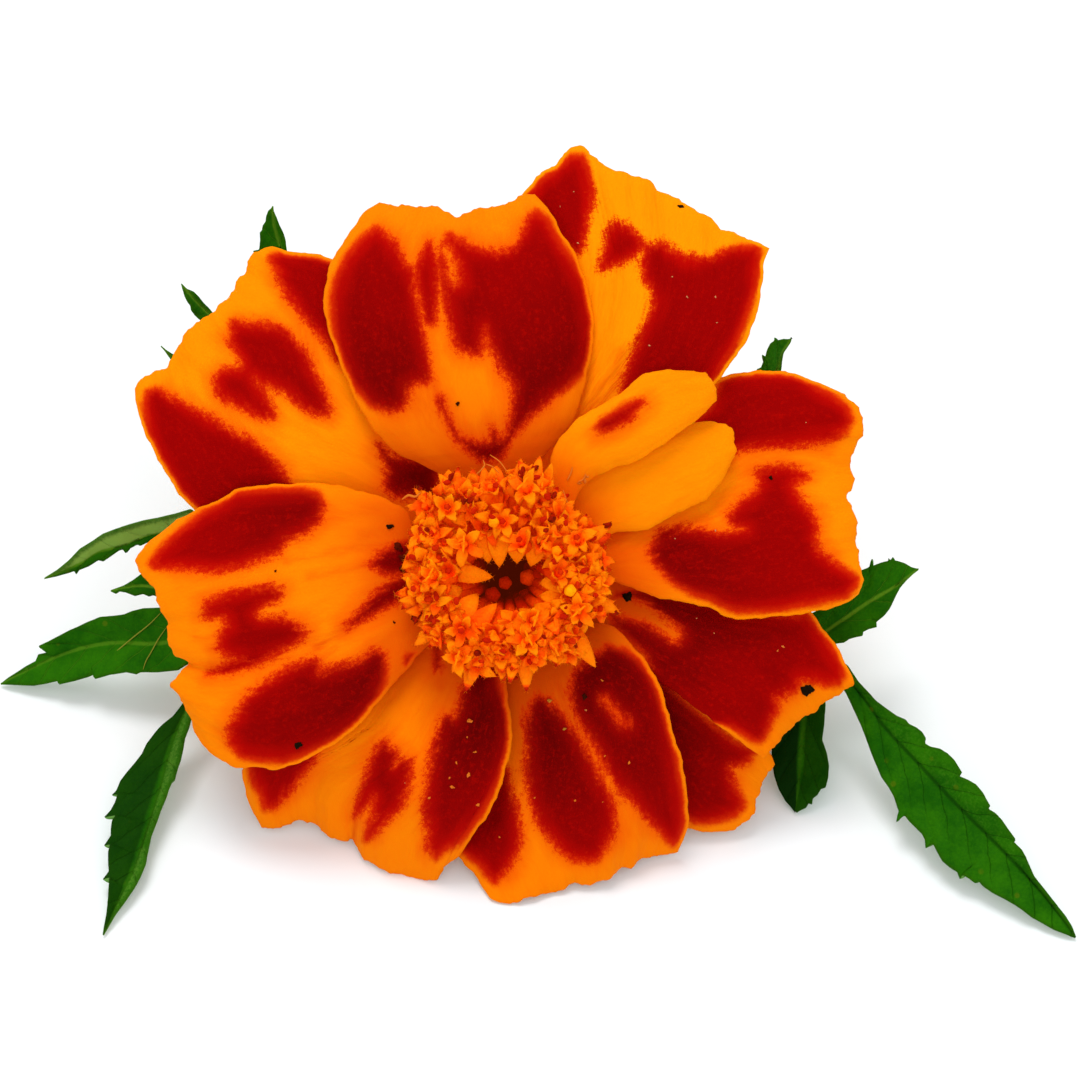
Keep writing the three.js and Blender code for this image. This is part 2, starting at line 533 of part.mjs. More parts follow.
// A leaflet, folded a little along its midrib, with saw teeth along both edges. The midrib is
// given as seen points with their depth; slope tips the blade from one side to the other.
function leaflet({ rib, width, slope = 0, fold = 0.25, teeth = 5, belly = 0.45 }) {
  const curve = new THREE.CatmullRomCurve3(
    rib.map(([x, y, z]) => new THREE.Vector3(x, y, z)), false, "centripetal");
  const rows = 2 * teeth + 1;
  const grid = [];
  for (let i = 0; i <= rows; i++) {
    const t = i / rows;
    const centre = curve.getPointAt(t);
    const tangent = curve.getTangentAt(t);
    const side = new THREE.Vector3(-tangent.y, tangent.x, 0).normalize();
    const shape = (t / belly) ** 0.8 * ((1 - t) / (1 - belly)) ** (0.8 * (1 - belly) / belly);
    const half = 0.3 + width * shape * (i % 2 === 0 ? 0.86 : 1.1) * (t > 0 && t < 1 ? 1 : 0);
    grid.push([-1, 0, 1].map((s) => seen(centre.x + s * side.x * half, centre.y + s * side.y * half,
      centre.z + s * slope * half + Math.abs(s) * fold * half)));
  }
  return manifoldOf(...bladeFromGrid(grid, BLADE));
}

// A leaf's stalk: a slim tube through the given points.
function stalk(points, radius) {
  const curve = new THREE.CatmullRomCurve3(points, false, "centripetal");
  const centres = curve.getSpacedPoints(9);
  const radii = centres.map((_, i) => radius * (1 - 0.05 * i));
  return manifoldOf(...tube(centres, radii, new THREE.Vector3(0, 0.3, 1), 6, 0));
}

function leafRight() {
  return joined([
    stalk([new THREE.Vector3(2.2, 24, 1.8), new THREE.Vector3(6.5, 19.5, 6), seen(13.2, 1.9, -14.6),
      seen(18, -2.5, -13.8), seen(22.8, -5.4, -12.9)], 0.85),
    leaflet({ rib: [[22.6, -5.3, -12.9], [26.1, -8.8, -11.5], [30.3, -13.7, -9], [34.6, -18.3, -7],
      [38.6, -22.9, -5.2], [42.3, -26.8, -4]], width: 3.0, slope: 0.15, teeth: 8, belly: 0.42 }),
    leaflet({ rib: [[20.4, -4.0, -13.3], [24, -3.8, -12.6], [27.5, -1.6, -12.2], [30.6, 0.4, -12.4]],
      width: 2.7, slope: -0.2, teeth: 5, belly: 0.5 }),
    leaflet({ rib: [[22.2, -5.1, -13], [22.4, -9.5, -13], [22.2, -13.5, -12.5], [21.6, -17.4, -11.7]],
      width: 2.1, slope: 0.3, teeth: 5, belly: 0.62 }),
    leaflet({ rib: [[13.2, 1.9, -14.6], [16.5, 8.5, -14.4], [19.4, 14, -13.8], [21.3, 17.6, -13.2]],
      width: 1.5, slope: 0.3, teeth: 6, belly: 0.5 }),
    leaflet({ rib: [[13.4, 1.7, -14.6], [15.6, -3.4, -15.4], [17, -8.8, -15.6]],
      width: 1.6, slope: -0.2, teeth: 5, belly: 0.5 }),
  ]);
}

function leafLeft() {
  return joined([
    stalk([new THREE.Vector3(-1.9, 24, 1.8), new THREE.Vector3(-6.5, 19.8, 6), seen(-12.4, 2.6, -15),
      seen(-17.8, -0.4, -14.8), seen(-21.8, -4.7, -14.2)], 0.85),
    leaflet({ rib: [[-21.4, -4.4, -14.2], [-25.5, -5.1, -15.4], [-28.4, -5.0, -16.6],
      [-31.6, -5.7, -17.9], [-34.4, -6.8, -18.9], [-37.3, -8.1, -19.48]],
      width: 2.5, slope: 0.2, teeth: 6, belly: 0.42 }),
    leaflet({ rib: [[-21.6, -4.6, -14.2], [-24.2, -11.5, -12.4], [-26.6, -16.6, -9.8],
      [-28.4, -21.8, -7.0], [-29.8, -26.7, -4.15]], width: 2.3, slope: 0.25, teeth: 7, belly: 0.42 }),
    leaflet({ rib: [[-17.6, -0.3, -14.8], [-23.5, 3.2, -15.6], [-28.6, 2.3, -16.6], [-34.1, -0.3, -17.2]],
      width: 1.4, slope: -0.4, teeth: 6, belly: 0.5 }),
    leaflet({ rib: [[-20.2, -2.9, -14.5], [-25, -1.6, -15.4], [-29.1, -1.1, -16]],
      width: 1.1, slope: 0.1, teeth: 4, belly: 0.5 }),
    leaflet({ rib: [[-12.4, 2.7, -15], [-14.8, 9, -15.2], [-17.6, 14, -14.8]],
      width: 1.5, slope: 0.2, teeth: 5, belly: 0.5 }),
  ]);
}

function leafBack() {
  return joined([
    stalk([new THREE.Vector3(-0.7, 36, 1.9), new THREE.Vector3(-5, 35.6, 4.6),
      seen(-10.2, 12.8, -29.6), seen(-13.8, 15.6, -29.4)], 0.75),
    leaflet({ rib: [[-13.4, 15.4, -29.4], [-15.4, 20.6, -28], [-16.9, 24.4, -27], [-17.3, 27.2, -26]],
      width: 1.7, slope: 0.1, teeth: 5, belly: 0.5 }),
    leaflet({ rib: [[-13.5, 15.3, -29.4], [-18.5, 17.6, -27], [-21.8, 19.6, -25], [-23.9, 21.3, -24]],
      width: 1.3, slope: 0.2, teeth: 5, belly: 0.5 }),
    leaflet({ rib: [[-11.2, 13.6, -29.5], [-18, 14.6, -26.5], [-22, 15.6, -24], [-25.3, 16.8, -22.4]],
      width: 1.2, slope: 0.1, teeth: 5, belly: 0.5 }),
  ]);
}

const orange = { color: 0xf07a04, roughness: 0.62, metalness: 0 };
const discOrange = { color: 0xf28a10, roughness: 0.7, metalness: 0 };
const green = { color: 0x2c6a10, roughness: 0.55, metalness: 0 };
const stemGreen = { color: 0x4f8426, roughness: 0.5, metalness: 0 };

const group = new THREE.Group();

function addPiece(name, geometry, material) {
  const mesh = new THREE.Mesh(geometry, new THREE.MeshStandardMaterial(material));
  mesh.name = name;
  group.add(mesh);
}

for (const [name, petal] of Object.entries(PETALS)) {
  const size = name.startsWith("petal_small") ? SMALL_PETAL : LARGE_PETAL;
  addPiece(name, geometryOf(...bladeFromGrid(petalGrid(petal, size), BLADE)), orange);
}
addPiece("disc_florets", disc(), discOrange);
addPiece("involucre", cup(), green);
addPiece("stem", stem(), stemGreen);
addPiece("leaf_right", leafRight(), green);
addPiece("leaf_left", leafLeft(), green);
addPiece("leaf_back", leafBack(), green);

// The whole flower, moved so that the origin is under its middle.
const box = new THREE.Box3().setFromObject(group);
group.position.set(-(box.min.x + box.max.x) / 2, -(box.min.y + box.max.y) / 2, -box.min.z);
group.updateMatrixWorld(true);

export default group;
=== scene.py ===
"""A picked French marigold lying on a white table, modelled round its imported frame.

Lengths are millimetres until a mesh is made. Petals and disc are laid out in the bloom's own
frame: x to the right, y up along the face and z out of it, with the middle of the disc as zero.
Outlines and colour marks are drawn as they are seen from in front of the bloom.
"""
import math

import bpy
import numpy as np
from mathutils import Matrix, Vector


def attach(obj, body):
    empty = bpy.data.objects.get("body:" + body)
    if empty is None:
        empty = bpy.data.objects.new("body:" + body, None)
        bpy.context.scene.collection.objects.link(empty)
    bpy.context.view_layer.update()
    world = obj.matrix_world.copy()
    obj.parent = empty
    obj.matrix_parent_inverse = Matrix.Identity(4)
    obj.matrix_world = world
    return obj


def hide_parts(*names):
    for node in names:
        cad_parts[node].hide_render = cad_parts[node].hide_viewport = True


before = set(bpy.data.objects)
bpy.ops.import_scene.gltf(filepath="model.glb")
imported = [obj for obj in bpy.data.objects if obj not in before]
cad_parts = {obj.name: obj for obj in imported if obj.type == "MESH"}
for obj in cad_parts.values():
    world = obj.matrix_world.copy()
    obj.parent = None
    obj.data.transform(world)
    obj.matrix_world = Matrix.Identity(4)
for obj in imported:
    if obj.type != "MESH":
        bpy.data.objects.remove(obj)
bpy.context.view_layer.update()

MM = 0.001

# The bloom's own axes and the middle of its disc, on the table's axes
SLANT = math.radians(50)
ACROSS = np.array([1.0, 0, 0])
FACE_UP = np.array([0, math.sin(SLANT), math.cos(SLANT)])
FACE_OUT = np.array([0, -math.cos(SLANT), math.sin(SLANT)])
FACE_CENTRE = np.array([-1.551, -13.302, 20.945])

# How high the disc's middle lies over the table in the points that table_point takes
DRAWN_HEIGHT = 20.91

# The camera's distance from the face, and the place of the face that it looks at
VIEW_DISTANCE = 300
VIEW_MIDDLE = (2.6, 2.6)

# The photo's pixel at the middle of the disc, and its pixels to a millimetre there
PHOTO_MIDDLE = (505, 575)
PHOTO_SCALE = 13.5

BASE_RADIUS = 6.2
PETAL_HALF = 0.17
PETAL_GRID = (112, 100)
SMALL_PETAL_GRID = (60, 60)
CLAW_ROWS = 18

# How far inside a red mark a place counts that has none near it
NO_MARK = -6.0

LEAF_HALF = 0.15
LEAF_FOLD = 0.25
LEAF_TEETH = 6
VEIN_SPACING = 2.5
VEIN_SLANT = 1.5

HAIR_RADIUS = 0.022
HAIR_LENGTH = 0.24
HAIR_FACES = ((0, 1, 3), (1, 2, 3), (2, 0, 3), (2, 1, 0))
CRUMB_RINGS = 9
CRUMB_SIDES = 16

FIRST_FLORET = 8
LAST_FLORET = 46
FLORET_SPACING = 1.12
LOBE_POINTS = 8
NOTCH = 0.6
RIM_LOBES = 64
LOOSE_LOBES = 150
RED_TIPS = 46
GOLDEN_ANGLE = 2.39996
GOLDEN_DEGREES = 137.5

# How far out the disc reaches: angle in degrees and radius
DISC_EDGE = [(0, 7.2), (20, 7.9), (40, 7.1), (52, 6.9), (66, 8.0), (76, 8.8), (90, 7.9), (105, 8.0),
             (122, 8.7), (136, 9.0), (150, 8.1), (165, 7.5), (178, 7.7), (190, 8.0), (200, 7.8), (210, 6.9),
             (218, 7.8), (228, 6.9), (241, 8.0), (251, 8.5), (262, 6.8), (276, 7.5), (289, 6.9), (300, 7.6),
             (312, 8.1), (325, 6.9), (340, 8.2), (351, 7.6), (360, 7.2)]
# Buds in and round the disc's pit: x, y, z, radius and tint, the deeper ones tinted darker as painted
# shade of the pit. The last three are ripe anthers.
BUDS = [(0, -0.6, -1.9, 0.5, -0.5), (1.7, -0.2, -1.5, 0.62, -0.3), (-0.95, -1.5, -1.8, 0.6, -0.55),
        (1.5, -1.6, -2.6, 0.55, -0.8), (-1.8, 0.1, -2.6, 0.5, -0.8), (-0.8, 3.9, 2.8, 0.4, 0.75),
        (3.8, 1.8, 2.7, 0.38, 0.65), (4.8, -1.1, 2.8, 0.46, 0.85)]
# Lobes that lean into the pit: foot, tip, width and tint
PIT_LOBES = [(-3.4, 0.2, -0.9, -0.15, 1.3, 0.4), (-3.3, -3.0, -2.0, -1.4, 1.5, 0.3),
             (-2.4, -3.9, -0.6, -2.1, 1.4, 0.1), (1.5, -4.2, -0.3, -2.6, 1.6, 0.3),
             (-1.5, 3.3, -1.2, 0.9, 1.5, 0.4), (-0.5, 3.3, -0.4, 0.6, 1.6, 0.45),
             (0.9, 3.2, 0.9, 0.9, 1.7, 0.45), (2.6, 2.8, 1.9, 0.7, 1.7, 0.4), (4.6, 1.4, 2.7, 0.1, 1.7, 0.4),
             (5.1, -0.4, 2.6, -0.6, 1.8, 0.45), (5.0, -1.9, 2.6, -1.5, 1.7, 0.4),
             (4.2, -3.2, 2.2, -2.2, 1.6, 0.35), (2.8, -4.0, 1.1, -2.5, 1.6, 0.3),
             (-4.8, -1.6, -3.2, -1.0, 1.4, 0.3)]
# Chaffy scales that close the ring of florets from below: foot, tip and width
SCALES = [(0.3, 5.2, 0.5, 7.3, 1.3), (2.6, 5.2, 3.3, 7.2, 1.2), (-4.4, -3.4, -6.0, -5.0, 1.2),
          (-0.1, -5.6, -0.1, -7.9, 1.2), (2.9, -5.0, 3.9, -6.6, 1.2), (5.4, -2.3, 7.4, -2.6, 1.2),
          (-5.6, 2.2, -7.2, 3.2, 1.2), (5.8, 1.6, 7.6, 2.1, 1.2), (6.0, 2.3, 7.9, 3.0, 1.4),
          (6.3, 0.2, 7.9, 0.4, 1.3)]
# Long lobes at the disc's lower edge: foot, tip and the tint of the tip
LONG_LOBES = [(5.0, -4.2, 6.7, -6.8, 0.5), (4.5, -4.4, 5.6, -6.2, 0.4), (1.5, -5.8, 1.6, -8.6, -0.6),
              (-2.0, -5.6, -2.9, -8.6, -0.6), (-2.9, -5.2, -2.3, -7.6, 0.4), (-3.0, -5.6, -3.9, -7.2, 0.3),
              (3.0, -5.4, 4.9, -6.5, -0.5), (0.4, -5.8, 0.7, -7.6, -0.5), (6.4, -1.6, 8.5, -2.8, 0.3),
              (5.9, -1.2, 7.7, -1.4, 0.5), (5.8, 2.6, 7.9, 3.7, -0.5), (-5.0, -3.9, -6.7, -5.2, 0.3),
              (-6.0, -1.0, -8.1, -1.5, 0.3), (-5.2, 5.2, -6.7, 6.4, 0.2), (-3.6, 5.9, -4.9, 7.5, 0.3),
              (1.0, 6.8, 1.2, 8.6, 0.2), (2.2, 6.8, 2.6, 8.8, 0.1), (3.0, 5.9, 3.5, 7.5, 0.2)]
# Dark specks on and round the disc: x, y, z and size
DARK_BITS = [(1.3, 7.5, 1.6, 0.75), (-3.0, 5.5, 2.7, 0.5), (-3.9, 7.3, 1.6, 0.6),
             (7.6, 3.7, 0.9, 0.55), (0.7, -7.5, 1.0, 0.5), (7.1, 0.6, 1.5, 0.5), (6.6, 1.1, 1.8, 0.55),
             (7.5, -1.1, 1.0, 0.5), (2.2, 7.9, 1.3, 0.5), (-6.3, 6.4, 1.2, 0.4), (5.2, -5.2, 1.6, 0.4),
             (-6.5, -3.1, 1.2, 0.7), (8.1, -2.7, 0.7, 0.5)]
# Dry threads: radius and points x, y, z
STRAWS = [(0.06, [(-2.3, 7.3, 1.2), (-1.8, 7.7, 1.3), (-1.5, 8.1, 1.2), (-1.6, 8.5, 0.8)]),
          (0.05, [(-1.4, 8.2, 1.2), (-0.9, 8.0, 1.3), (-0.4, 7.5, 1.3)]),
          (0.09, [(-7.6, 5.6, 0.6), (-7.1, 5.9, 0.9), (-6.6, 5.8, 1.1), (-6.2, 6.1, 1.2)]),
          (0.05, [(4.3, 6.3, 1.0), (4.6, 5.4, 1.2), (5.0, 4.5, 1.4)]),
          (0.05, [(3.9, 6.0, 1.0), (4.2, 5.2, 1.2), (4.8, 4.4, 1.4)]),
          (0.05, [(-1.1, 8.9, 0.6), (-0.4, 8.4, 0.9), (0.2, 7.6, 1.2)])]

# Each petal as in the frame: claw is the angle and half the width of its foot in degrees, ccw and
# cw its long edges from foot to tip, tip its end edge, heights z along the ccw edge, the middle and
# the cw edge, pleats soft ridges: where across it at foot and tip, height and width. curl turns up
# a margin. Its colours: dusk is how much painted shade dulls its orange and darkens its
# foot, red the outlines of the red marks, gold thin gaps in them and wine thin red lines: width and
# points, blush soft reddish smears, the strongest at some feet painted shade from the
# disc's lobes: strength, width and points, bare places where red reaches the margin: x, y and size.
# specks are grains: x, y, size and tint, threads dry threads: radius and points. The points of red
# and gold were read in an enlarged crop of the photo and stay in its pixels. crop is its left and
# top edge and its scale.
PETALS = {
    "petal_top": dict(
        dusk=0.35,
        claw=(102, 13),
        ccw=[(-5.0, 7.6), (-8.0, 9.1), (-9.2, 10.2), (-10.4, 11.8), (-11.5, 14), (-12.4, 16.2), (-13, 18),
             (-13.4, 19.6), (-13.3, 21.4), (-12.8, 23.3), (-12, 24.6), (-11.3, 25.6), (-10.5, 26.8),
             (-9.3, 27.6)],
        cw=[(1.8, 7.6), (3.5, 9.5), (4.4, 10.4), (5.3, 12), (6, 14.5), (6.5, 17), (6.6, 18.5), (6.3, 20.5),
            (5.9, 22), (5.1, 24), (4.1, 25.5), (3.3, 27), (2.2, 28.2)],
        tip=[(-8.3, 27.4), (-6.5, 27.3), (-4.8, 27.2), (-4.1, 26.8), (-3.6, 26.45), (-2.8, 26.9),
             (-1.8, 27.15), (-0.5, 27.35), (0.2, 27.5), (1.1, 28.1)],
        heights=[(-2.4, -2.2, -2.7, -3.6), (-2.4, -1.0, -0.9, -2.4), (-2.4, -2.2, -2.6, -3.4)],
        pleats=[(0.45, 0.33, -0.7, 0.09), (0.62, 0.6, -0.35, 0.08)],
        crop=(320, 190, 3.6),
        red=[
            [(205, 140), (240, 165), (270, 200), (300, 262), (330, 288), (345, 380), (362, 470), (382, 580),
             (392, 680), (345, 690), (322, 712), (310, 770), (258, 800), (190, 775), (130, 705), (88, 620),
             (66, 560), (52, 470), (50, 390), (62, 320), (95, 250), (130, 205), (165, 165)],
            [(392, 200), (372, 235), (352, 290), (352, 340), (365, 400), (385, 475), (408, 475), (424, 400),
             (430, 340), (428, 270), (410, 230)],
            [(465, 165), (490, 182), (530, 200), (600, 225), (680, 230), (720, 185), (748, 115), (780, 85),
             (810, 110), (845, 170), (905, 260), (945, 330), (968, 400), (976, 500), (970, 580), (945, 650),
             (898, 700), (830, 745), (770, 805), (705, 865), (675, 915), (655, 935), (680, 870), (695, 800),
             (696, 700), (655, 645), (625, 590), (605, 520), (595, 490), (583, 530), (572, 590), (520, 585),
             (492, 555), (472, 480), (452, 400), (436, 340), (430, 275), (445, 200)],
            [(501, 895), (535, 934), (569, 963), (608, 973), (651, 958), (676, 910), (642, 895), (627, 856),
             (613, 905), (579, 915), (540, 905)],
        ],
        wine=[(0.1, [(-4.85, 12.9), (-4.6, 12.2), (-4.05, 11.1), (-3.3, 9.9), (-2.4, 9.2)])],
        blush=[(0.6, 0.7, [(-5.7, 14.6), (-5.2, 13.2), (-4.6, 12.2)]),
               (0.4, 0.8, [(-6.8, 13.8), (-5.4, 11.6)]),
               (0.5, 0.9, [(-3.4, 10.6), (-1.2, 9.9), (0.6, 11.0)]), (0.6, 0.6, [(1.5, 9.6), (3.8, 11.2)])],
        gold=[(0.95, [(452, 215), (470, 260), (487, 328)])],
        specks=[(-3.5, 12.7, 0.3, -0.8)],
    ),
    "petal_upper_right": dict(
        dusk=-0.3,
        claw=(75.5, 11.5),
        ccw=[(2.2, 8.5), (3.6, 11.5), (4.6, 15), (4.7, 18.5), (4, 22), (2.4, 25.3), (1.2, 28.1)],
        cw=[(4.6, 8.3), (7.5, 10.5), (11, 12.4), (14, 13.4), (15.6, 14.1), (16.2, 15), (17.2, 16.3),
            (18, 17.6), (18.6, 19.2), (18.9, 20.5), (19.1, 22), (19.2, 23.2), (19.6, 24.2)],
        tip=[(2.6, 29.7), (3.5, 30.3), (4, 30.6), (4.5, 31.4), (5.3, 31.8), (6, 31.6), (6.6, 31),
             (7.3, 30.4), (8.2, 30), (9.5, 29.6), (10.7, 29.2), (11.5, 28.4), (13, 27.8), (13.6, 27.3),
             (15.3, 26.4), (15.8, 25.8), (17, 25.3), (19, 24.5)],
        heights=[(-4.0, -4.2, -4.4, -4.6), (-4.0, -3.0, -2.6, -4.0), (-4.0, -2.7, -2.4, -4.0)],
        pleats=[(0.4, 0.28, -0.5, 0.09), (0.6, 0.62, -0.5, 0.1)],
        crop=(510, 140, 3.6),
        red=[
            [(222, 62), (258, 62), (280, 110), (300, 180), (294, 240), (280, 300), (264, 360), (248, 400),
             (150, 360), (60, 250), (70, 190), (110, 150), (165, 110)],
            [(380, 292), (420, 312), (460, 342), (488, 380), (470, 402), (430, 428), (380, 450), (330, 462),
             (330, 420), (345, 380), (352, 330)],
            [(492, 392), (540, 372), (580, 398), (620, 415), (660, 425), (720, 428), (770, 402), (830, 390),
             (892, 392), (894, 440), (880, 530), (848, 640), (808, 740), (765, 810), (735, 870), (600, 930),
             (400, 900), (420, 850), (440, 780), (462, 710), (500, 640), (515, 580), (505, 530), (482, 500),
             (476, 440)],
        ],
        blush=[(0.7, 0.9, [(8.9, 16.1), (8.2, 14.2), (7.1, 12.7), (5.8, 11.8)]),
               (0.4, 1.2, [(6.4, 14.5), (4.9, 11.0)])],
        specks=[(13, 27.3, 0.4, -0.9), (12.4, 22.1, 0.22, 1), (13.5, 20.6, 0.28, 1), (15.6, 20.6, 0.3, 1),
                (10.7, 17, 0.3, 1), (15.7, 18.7, 0.2, 1), (5.1, 28.4, 0.2, 0.9), (4.1, 27.3, 0.2, 1),
                (5.4, 24.6, 0.3, 1)],
    ),
    "petal_right": dict(
        dusk=0.15,
        claw=(5, 10.5),
        ccw=[(8, 3.5), (10, 6.5), (12.4, 10), (13.8, 12.4), (15.2, 14), (16.5, 14.8), (18, 15.05),
             (20.5, 15.1), (22.3, 14.6), (24, 13.9)],
        cw=[(7.5, -0.4), (9.2, -0.85), (10.5, -1.4), (12, -1.8), (13.8, -2.1), (15.3, -2.5),
            (16.5, -3.1), (17.5, -3.3), (19, -3.15), (21, -3), (23, -2.7), (24.3, -2.4), (25.5, -1.95),
            (26.2, -1.4)],
        tip=[(25, 13.4), (25.9, 12.7), (26.5, 11.6), (26.5, 10.6), (26, 9.5), (25.55, 8.5), (25.8, 7.2),
             (25.7, 6.3), (25.3, 5.9), (25.6, 5.1), (26, 4.4), (26, 2.5), (26.3, 0.8), (26.5, -0.5)],
        heights=[(-2.9, -3.4, -4.0, -4.8), (-2.9, -2.2, -2.3, -4.2), (-2.9, -1.7, -1.9, -3.8)],
        pleats=[(0.5, 0.42, -0.6, 0.1)],
        crop=(600, 360, 3.8),
        red=[
            [(470, 78), (540, 64), (620, 60), (700, 60), (760, 70), (820, 108), (880, 140), (930, 180),
             (950, 230), (930, 268), (880, 298), (820, 308), (750, 318), (660, 323), (580, 333), (500, 343),
             (400, 330), (370, 230), (430, 180), (450, 130)],
            [(592, 425), (640, 415), (700, 408), (750, 415), (782, 440), (758, 458), (732, 472), (745, 510),
             (762, 535), (800, 580), (820, 630), (812, 690), (832, 735), (880, 768), (930, 800), (972, 832),
             (962, 860), (930, 892), (880, 903), (820, 918), (760, 932), (680, 943), (600, 952), (520, 952),
             (462, 932), (420, 903), (370, 888), (310, 862), (262, 828), (222, 780), (194, 740), (212, 690),
             (235, 655), (300, 645), (380, 650), (440, 664), (520, 658), (556, 650), (496, 620), (494, 590),
             (540, 542), (588, 510), (608, 470)],
        ],
        specks=[(19.7, 7.2, 0.3, -0.9), (15.6, 3.3, 0.3, 1), (12.6, 2.7, 0.2, 1), (22.3, 11.3, 0.18, 0.9)],
    ),
    "petal_lower_right": dict(
        dusk=0.6,
        claw=(-20, 10),
        ccw=[(8.2, -0.4), (10.5, -0.2), (13, -0.6), (16, -1.5), (19, -1.6), (21.5, -1.7), (22.6, -2.7),
             (23.6, -4), (24.6, -5.3), (25.2, -6.5), (25.75, -7.6)],
        cw=[(8, -5), (10.5, -7.3), (12.5, -8.6), (15, -10.5), (17, -12), (19.2, -13.6)],
        tip=[(25.8, -8.1), (25.2, -8.55), (24.4, -9), (23.6, -9.5), (22.9, -10.1), (21.7, -10.8),
             (21, -11.5), (20, -12.6)],
        heights=[(-4.3, -4.1, -4.0, -5.2), (-4.3, -3.6, -3.5, -6.0), (-4.3, -3.6, -3.8, -6.9)],
        pleats=[(0.35, 0.4, 0.4, 0.16)],
        curl=0.45,
        crop=(590, 580, 3.8),
        red=[
            [(110, 60), (190, 45), (450, 90), (560, 140), (700, 135), (822, 135), (875, 200), (915, 260),
             (955, 320), (962, 368), (938, 392), (890, 393), (850, 380), (800, 376), (768, 418), (738, 430),
             (702, 442), (708, 490), (690, 530), (668, 570), (640, 608), (610, 600), (570, 578), (520, 556),
             (467, 566), (395, 525), (313, 463), (252, 412), (215, 290), (160, 230), (100, 170), (70, 120)],
        ],
        gold=[(1.7, [(118, 99), (200, 125)]), (1.3, [(200, 125), (318, 202)])],
        bare=[(13.6, -9.5, 1.7), (11.4, -7.8, 1.5)],
        specks=[(22.4, -8.5, 0.95, -1), (20.6, -5.3, 0.3, 0.7), (20.2, -5.6, 0.2, 0.7),
                (14.2, -3.2, 0.2, 0.9), (9.1, -1.6, 0.7, -1), (8.2, -2.7, 0.45, -0.9),
                (15.5, -4.3, 0.2, 0.8)],
    ),
    "petal_low_right": dict(
        dusk=1.1,
        claw=(-44, 9.5),
        ccw=[(9, -5.7), (12.5, -7.7), (15.5, -9.6), (18, -11.6), (19.6, -13.1), (20, -14)],
        cw=[(6.4, -8), (8.8, -12), (10.8, -15.5), (12.2, -17.9), (13.8, -18.8), (15.2, -19),
            (16.4, -18.95)],
        tip=[(19.4, -14.8), (19, -15.6), (18.65, -16.6), (18.5, -17.5), (18, -18.1), (17.2, -18.7)],
        heights=[(-5.2, -5.2, -5.9, -8.5), (-5.2, -5.4, -6.6, -9.0), (-5.2, -5.8, -8.0, -9.7)],
        pleats=[],
        crop=(590, 580, 3.8),
        red=[
            [(290, 400), (330, 440), (400, 500), (470, 560), (540, 612), (621, 648), (585, 689), (530, 715),
             (545, 770), (568, 820), (578, 860), (550, 888), (500, 903), (440, 915), (400, 912), (340, 880),
             (300, 700), (200, 400)],
        ],
    ),
    "petal_bottom_right": dict(
        dusk=0.7,
        claw=(-72.5, 14.5),
        ccw=[(5.2, -4.2), (7.2, -3.5), (8.5, -4.2), (9.6, -5.4), (10.6, -6.6), (11.4, -8), (12, -9.8),
             (12.4, -11.5), (13, -13.3), (13.3, -14.7), (13.5, -16.5), (13.6, -17.4), (13.5, -18.8),
             (12.8, -20.5)],
        cw=[(-0.2, -7.9), (-0.7, -9.2), (-1.3, -11), (-1.5, -13.5), (-2, -16), (-3, -18.3), (-3.8, -20.2),
            (-3.2, -21.1), (-2.4, -22), (-1.8, -22.9), (-1.1, -23.9)],
        tip=[(12, -20.7), (10.8, -20.8), (10, -21.1), (9.2, -21.7), (8.7, -21.6), (8.3, -22), (7.8, -22.4),
             (7, -22.7), (6.2, -22.95), (5.2, -22.8), (4.6, -23.1), (3.6, -23.5), (2, -23.8), (1, -24.2),
             (0.2, -24.3), (-0.6, -24.2)],
        heights=[(-3.2, -2.2, -3.6, -8.7), (-3.2, -2.8, -4.0, -6.8), (-3.3, -4.6, -7.0, -6.1)],
        pleats=[(0.42, 0.38, 0.45, 0.09), (0.75, 0.8, 0.3, 0.08)],
        crop=(440, 630, 3.7),
        red=[
            [(250, 520), (262, 580), (280, 650), (293, 730), (293, 790), (270, 850), (240, 888), (208, 930),
             (178, 900), (150, 860), (110, 830), (60, 780), (120, 680), (190, 560)],
            [(320, 340), (335, 286), (365, 251), (402, 256), (440, 301), (490, 366), (535, 436), (580, 522),
             (620, 590), (638, 650), (638, 720), (618, 780), (588, 838), (540, 848), (490, 838), (450, 808),
             (410, 768), (372, 720), (347, 660), (332, 590), (327, 500), (330, 420)],
            [(485, 230), (495, 160), (550, 106), (620, 68), (680, 78), (730, 112), (768, 160), (796, 210),
             (818, 290), (838, 370), (866, 450), (882, 540), (896, 620), (900, 700), (886, 768), (860, 785),
             (820, 748), (770, 700), (720, 640), (662, 578), (622, 520), (584, 440), (545, 370), (505, 300)],
        ],
        gold=[(0.6, [(608, 258), (680, 340)])],
        # The two smears at the foot are painted shade from the disc's lobes
        blush=[(1.0, 1.0, [(2.0, -6.8), (2.4, -8.9)]), (1.0, 0.9, [(3.7, -6.6), (4.2, -8.9)]),
               (0.95, 0.7, [(3.2, -8.6), (4.7, -10.5), (5.9, -12.0)]),
               (0.6, 0.5, [(5.9, -12.0), (7.2, -14.2)]),
               (0.7, 0.6, [(7.2, -9.0), (9.0, -11.2)])],
        specks=[(5.9, -9, 0.4, -0.8), (3.3, -9.3, 0.45, 0.3), (4.4, -11.4, 0.35, 0.3),
                (7.2, -7.8, 0.25, 0.6), (5.2, -16.7, 0.25, 0.5), (7.2, -16.8, 0.25, 0.5),
                (9.2, -13.9, 0.3, 0.6),
                (6, -10, 0.3, 0.8), (7.4, -13.4, 0.2, 0.6), (2.2, -16.5, 0.2, 0.6), (-0.4, -19.4, 0.25, 0.6)],
    ),
    "petal_bottom_left": dict(
        dusk=0.42,
        claw=(-112, 19.5),
        ccw=[(0.0, -7.4), (0.2, -8.8), (0.4, -10.4), (0.55, -12), (0.2, -13.8), (-0.3, -15.6), (-1, -17.3),
             (-2.2, -19), (-3.4, -20.8)],
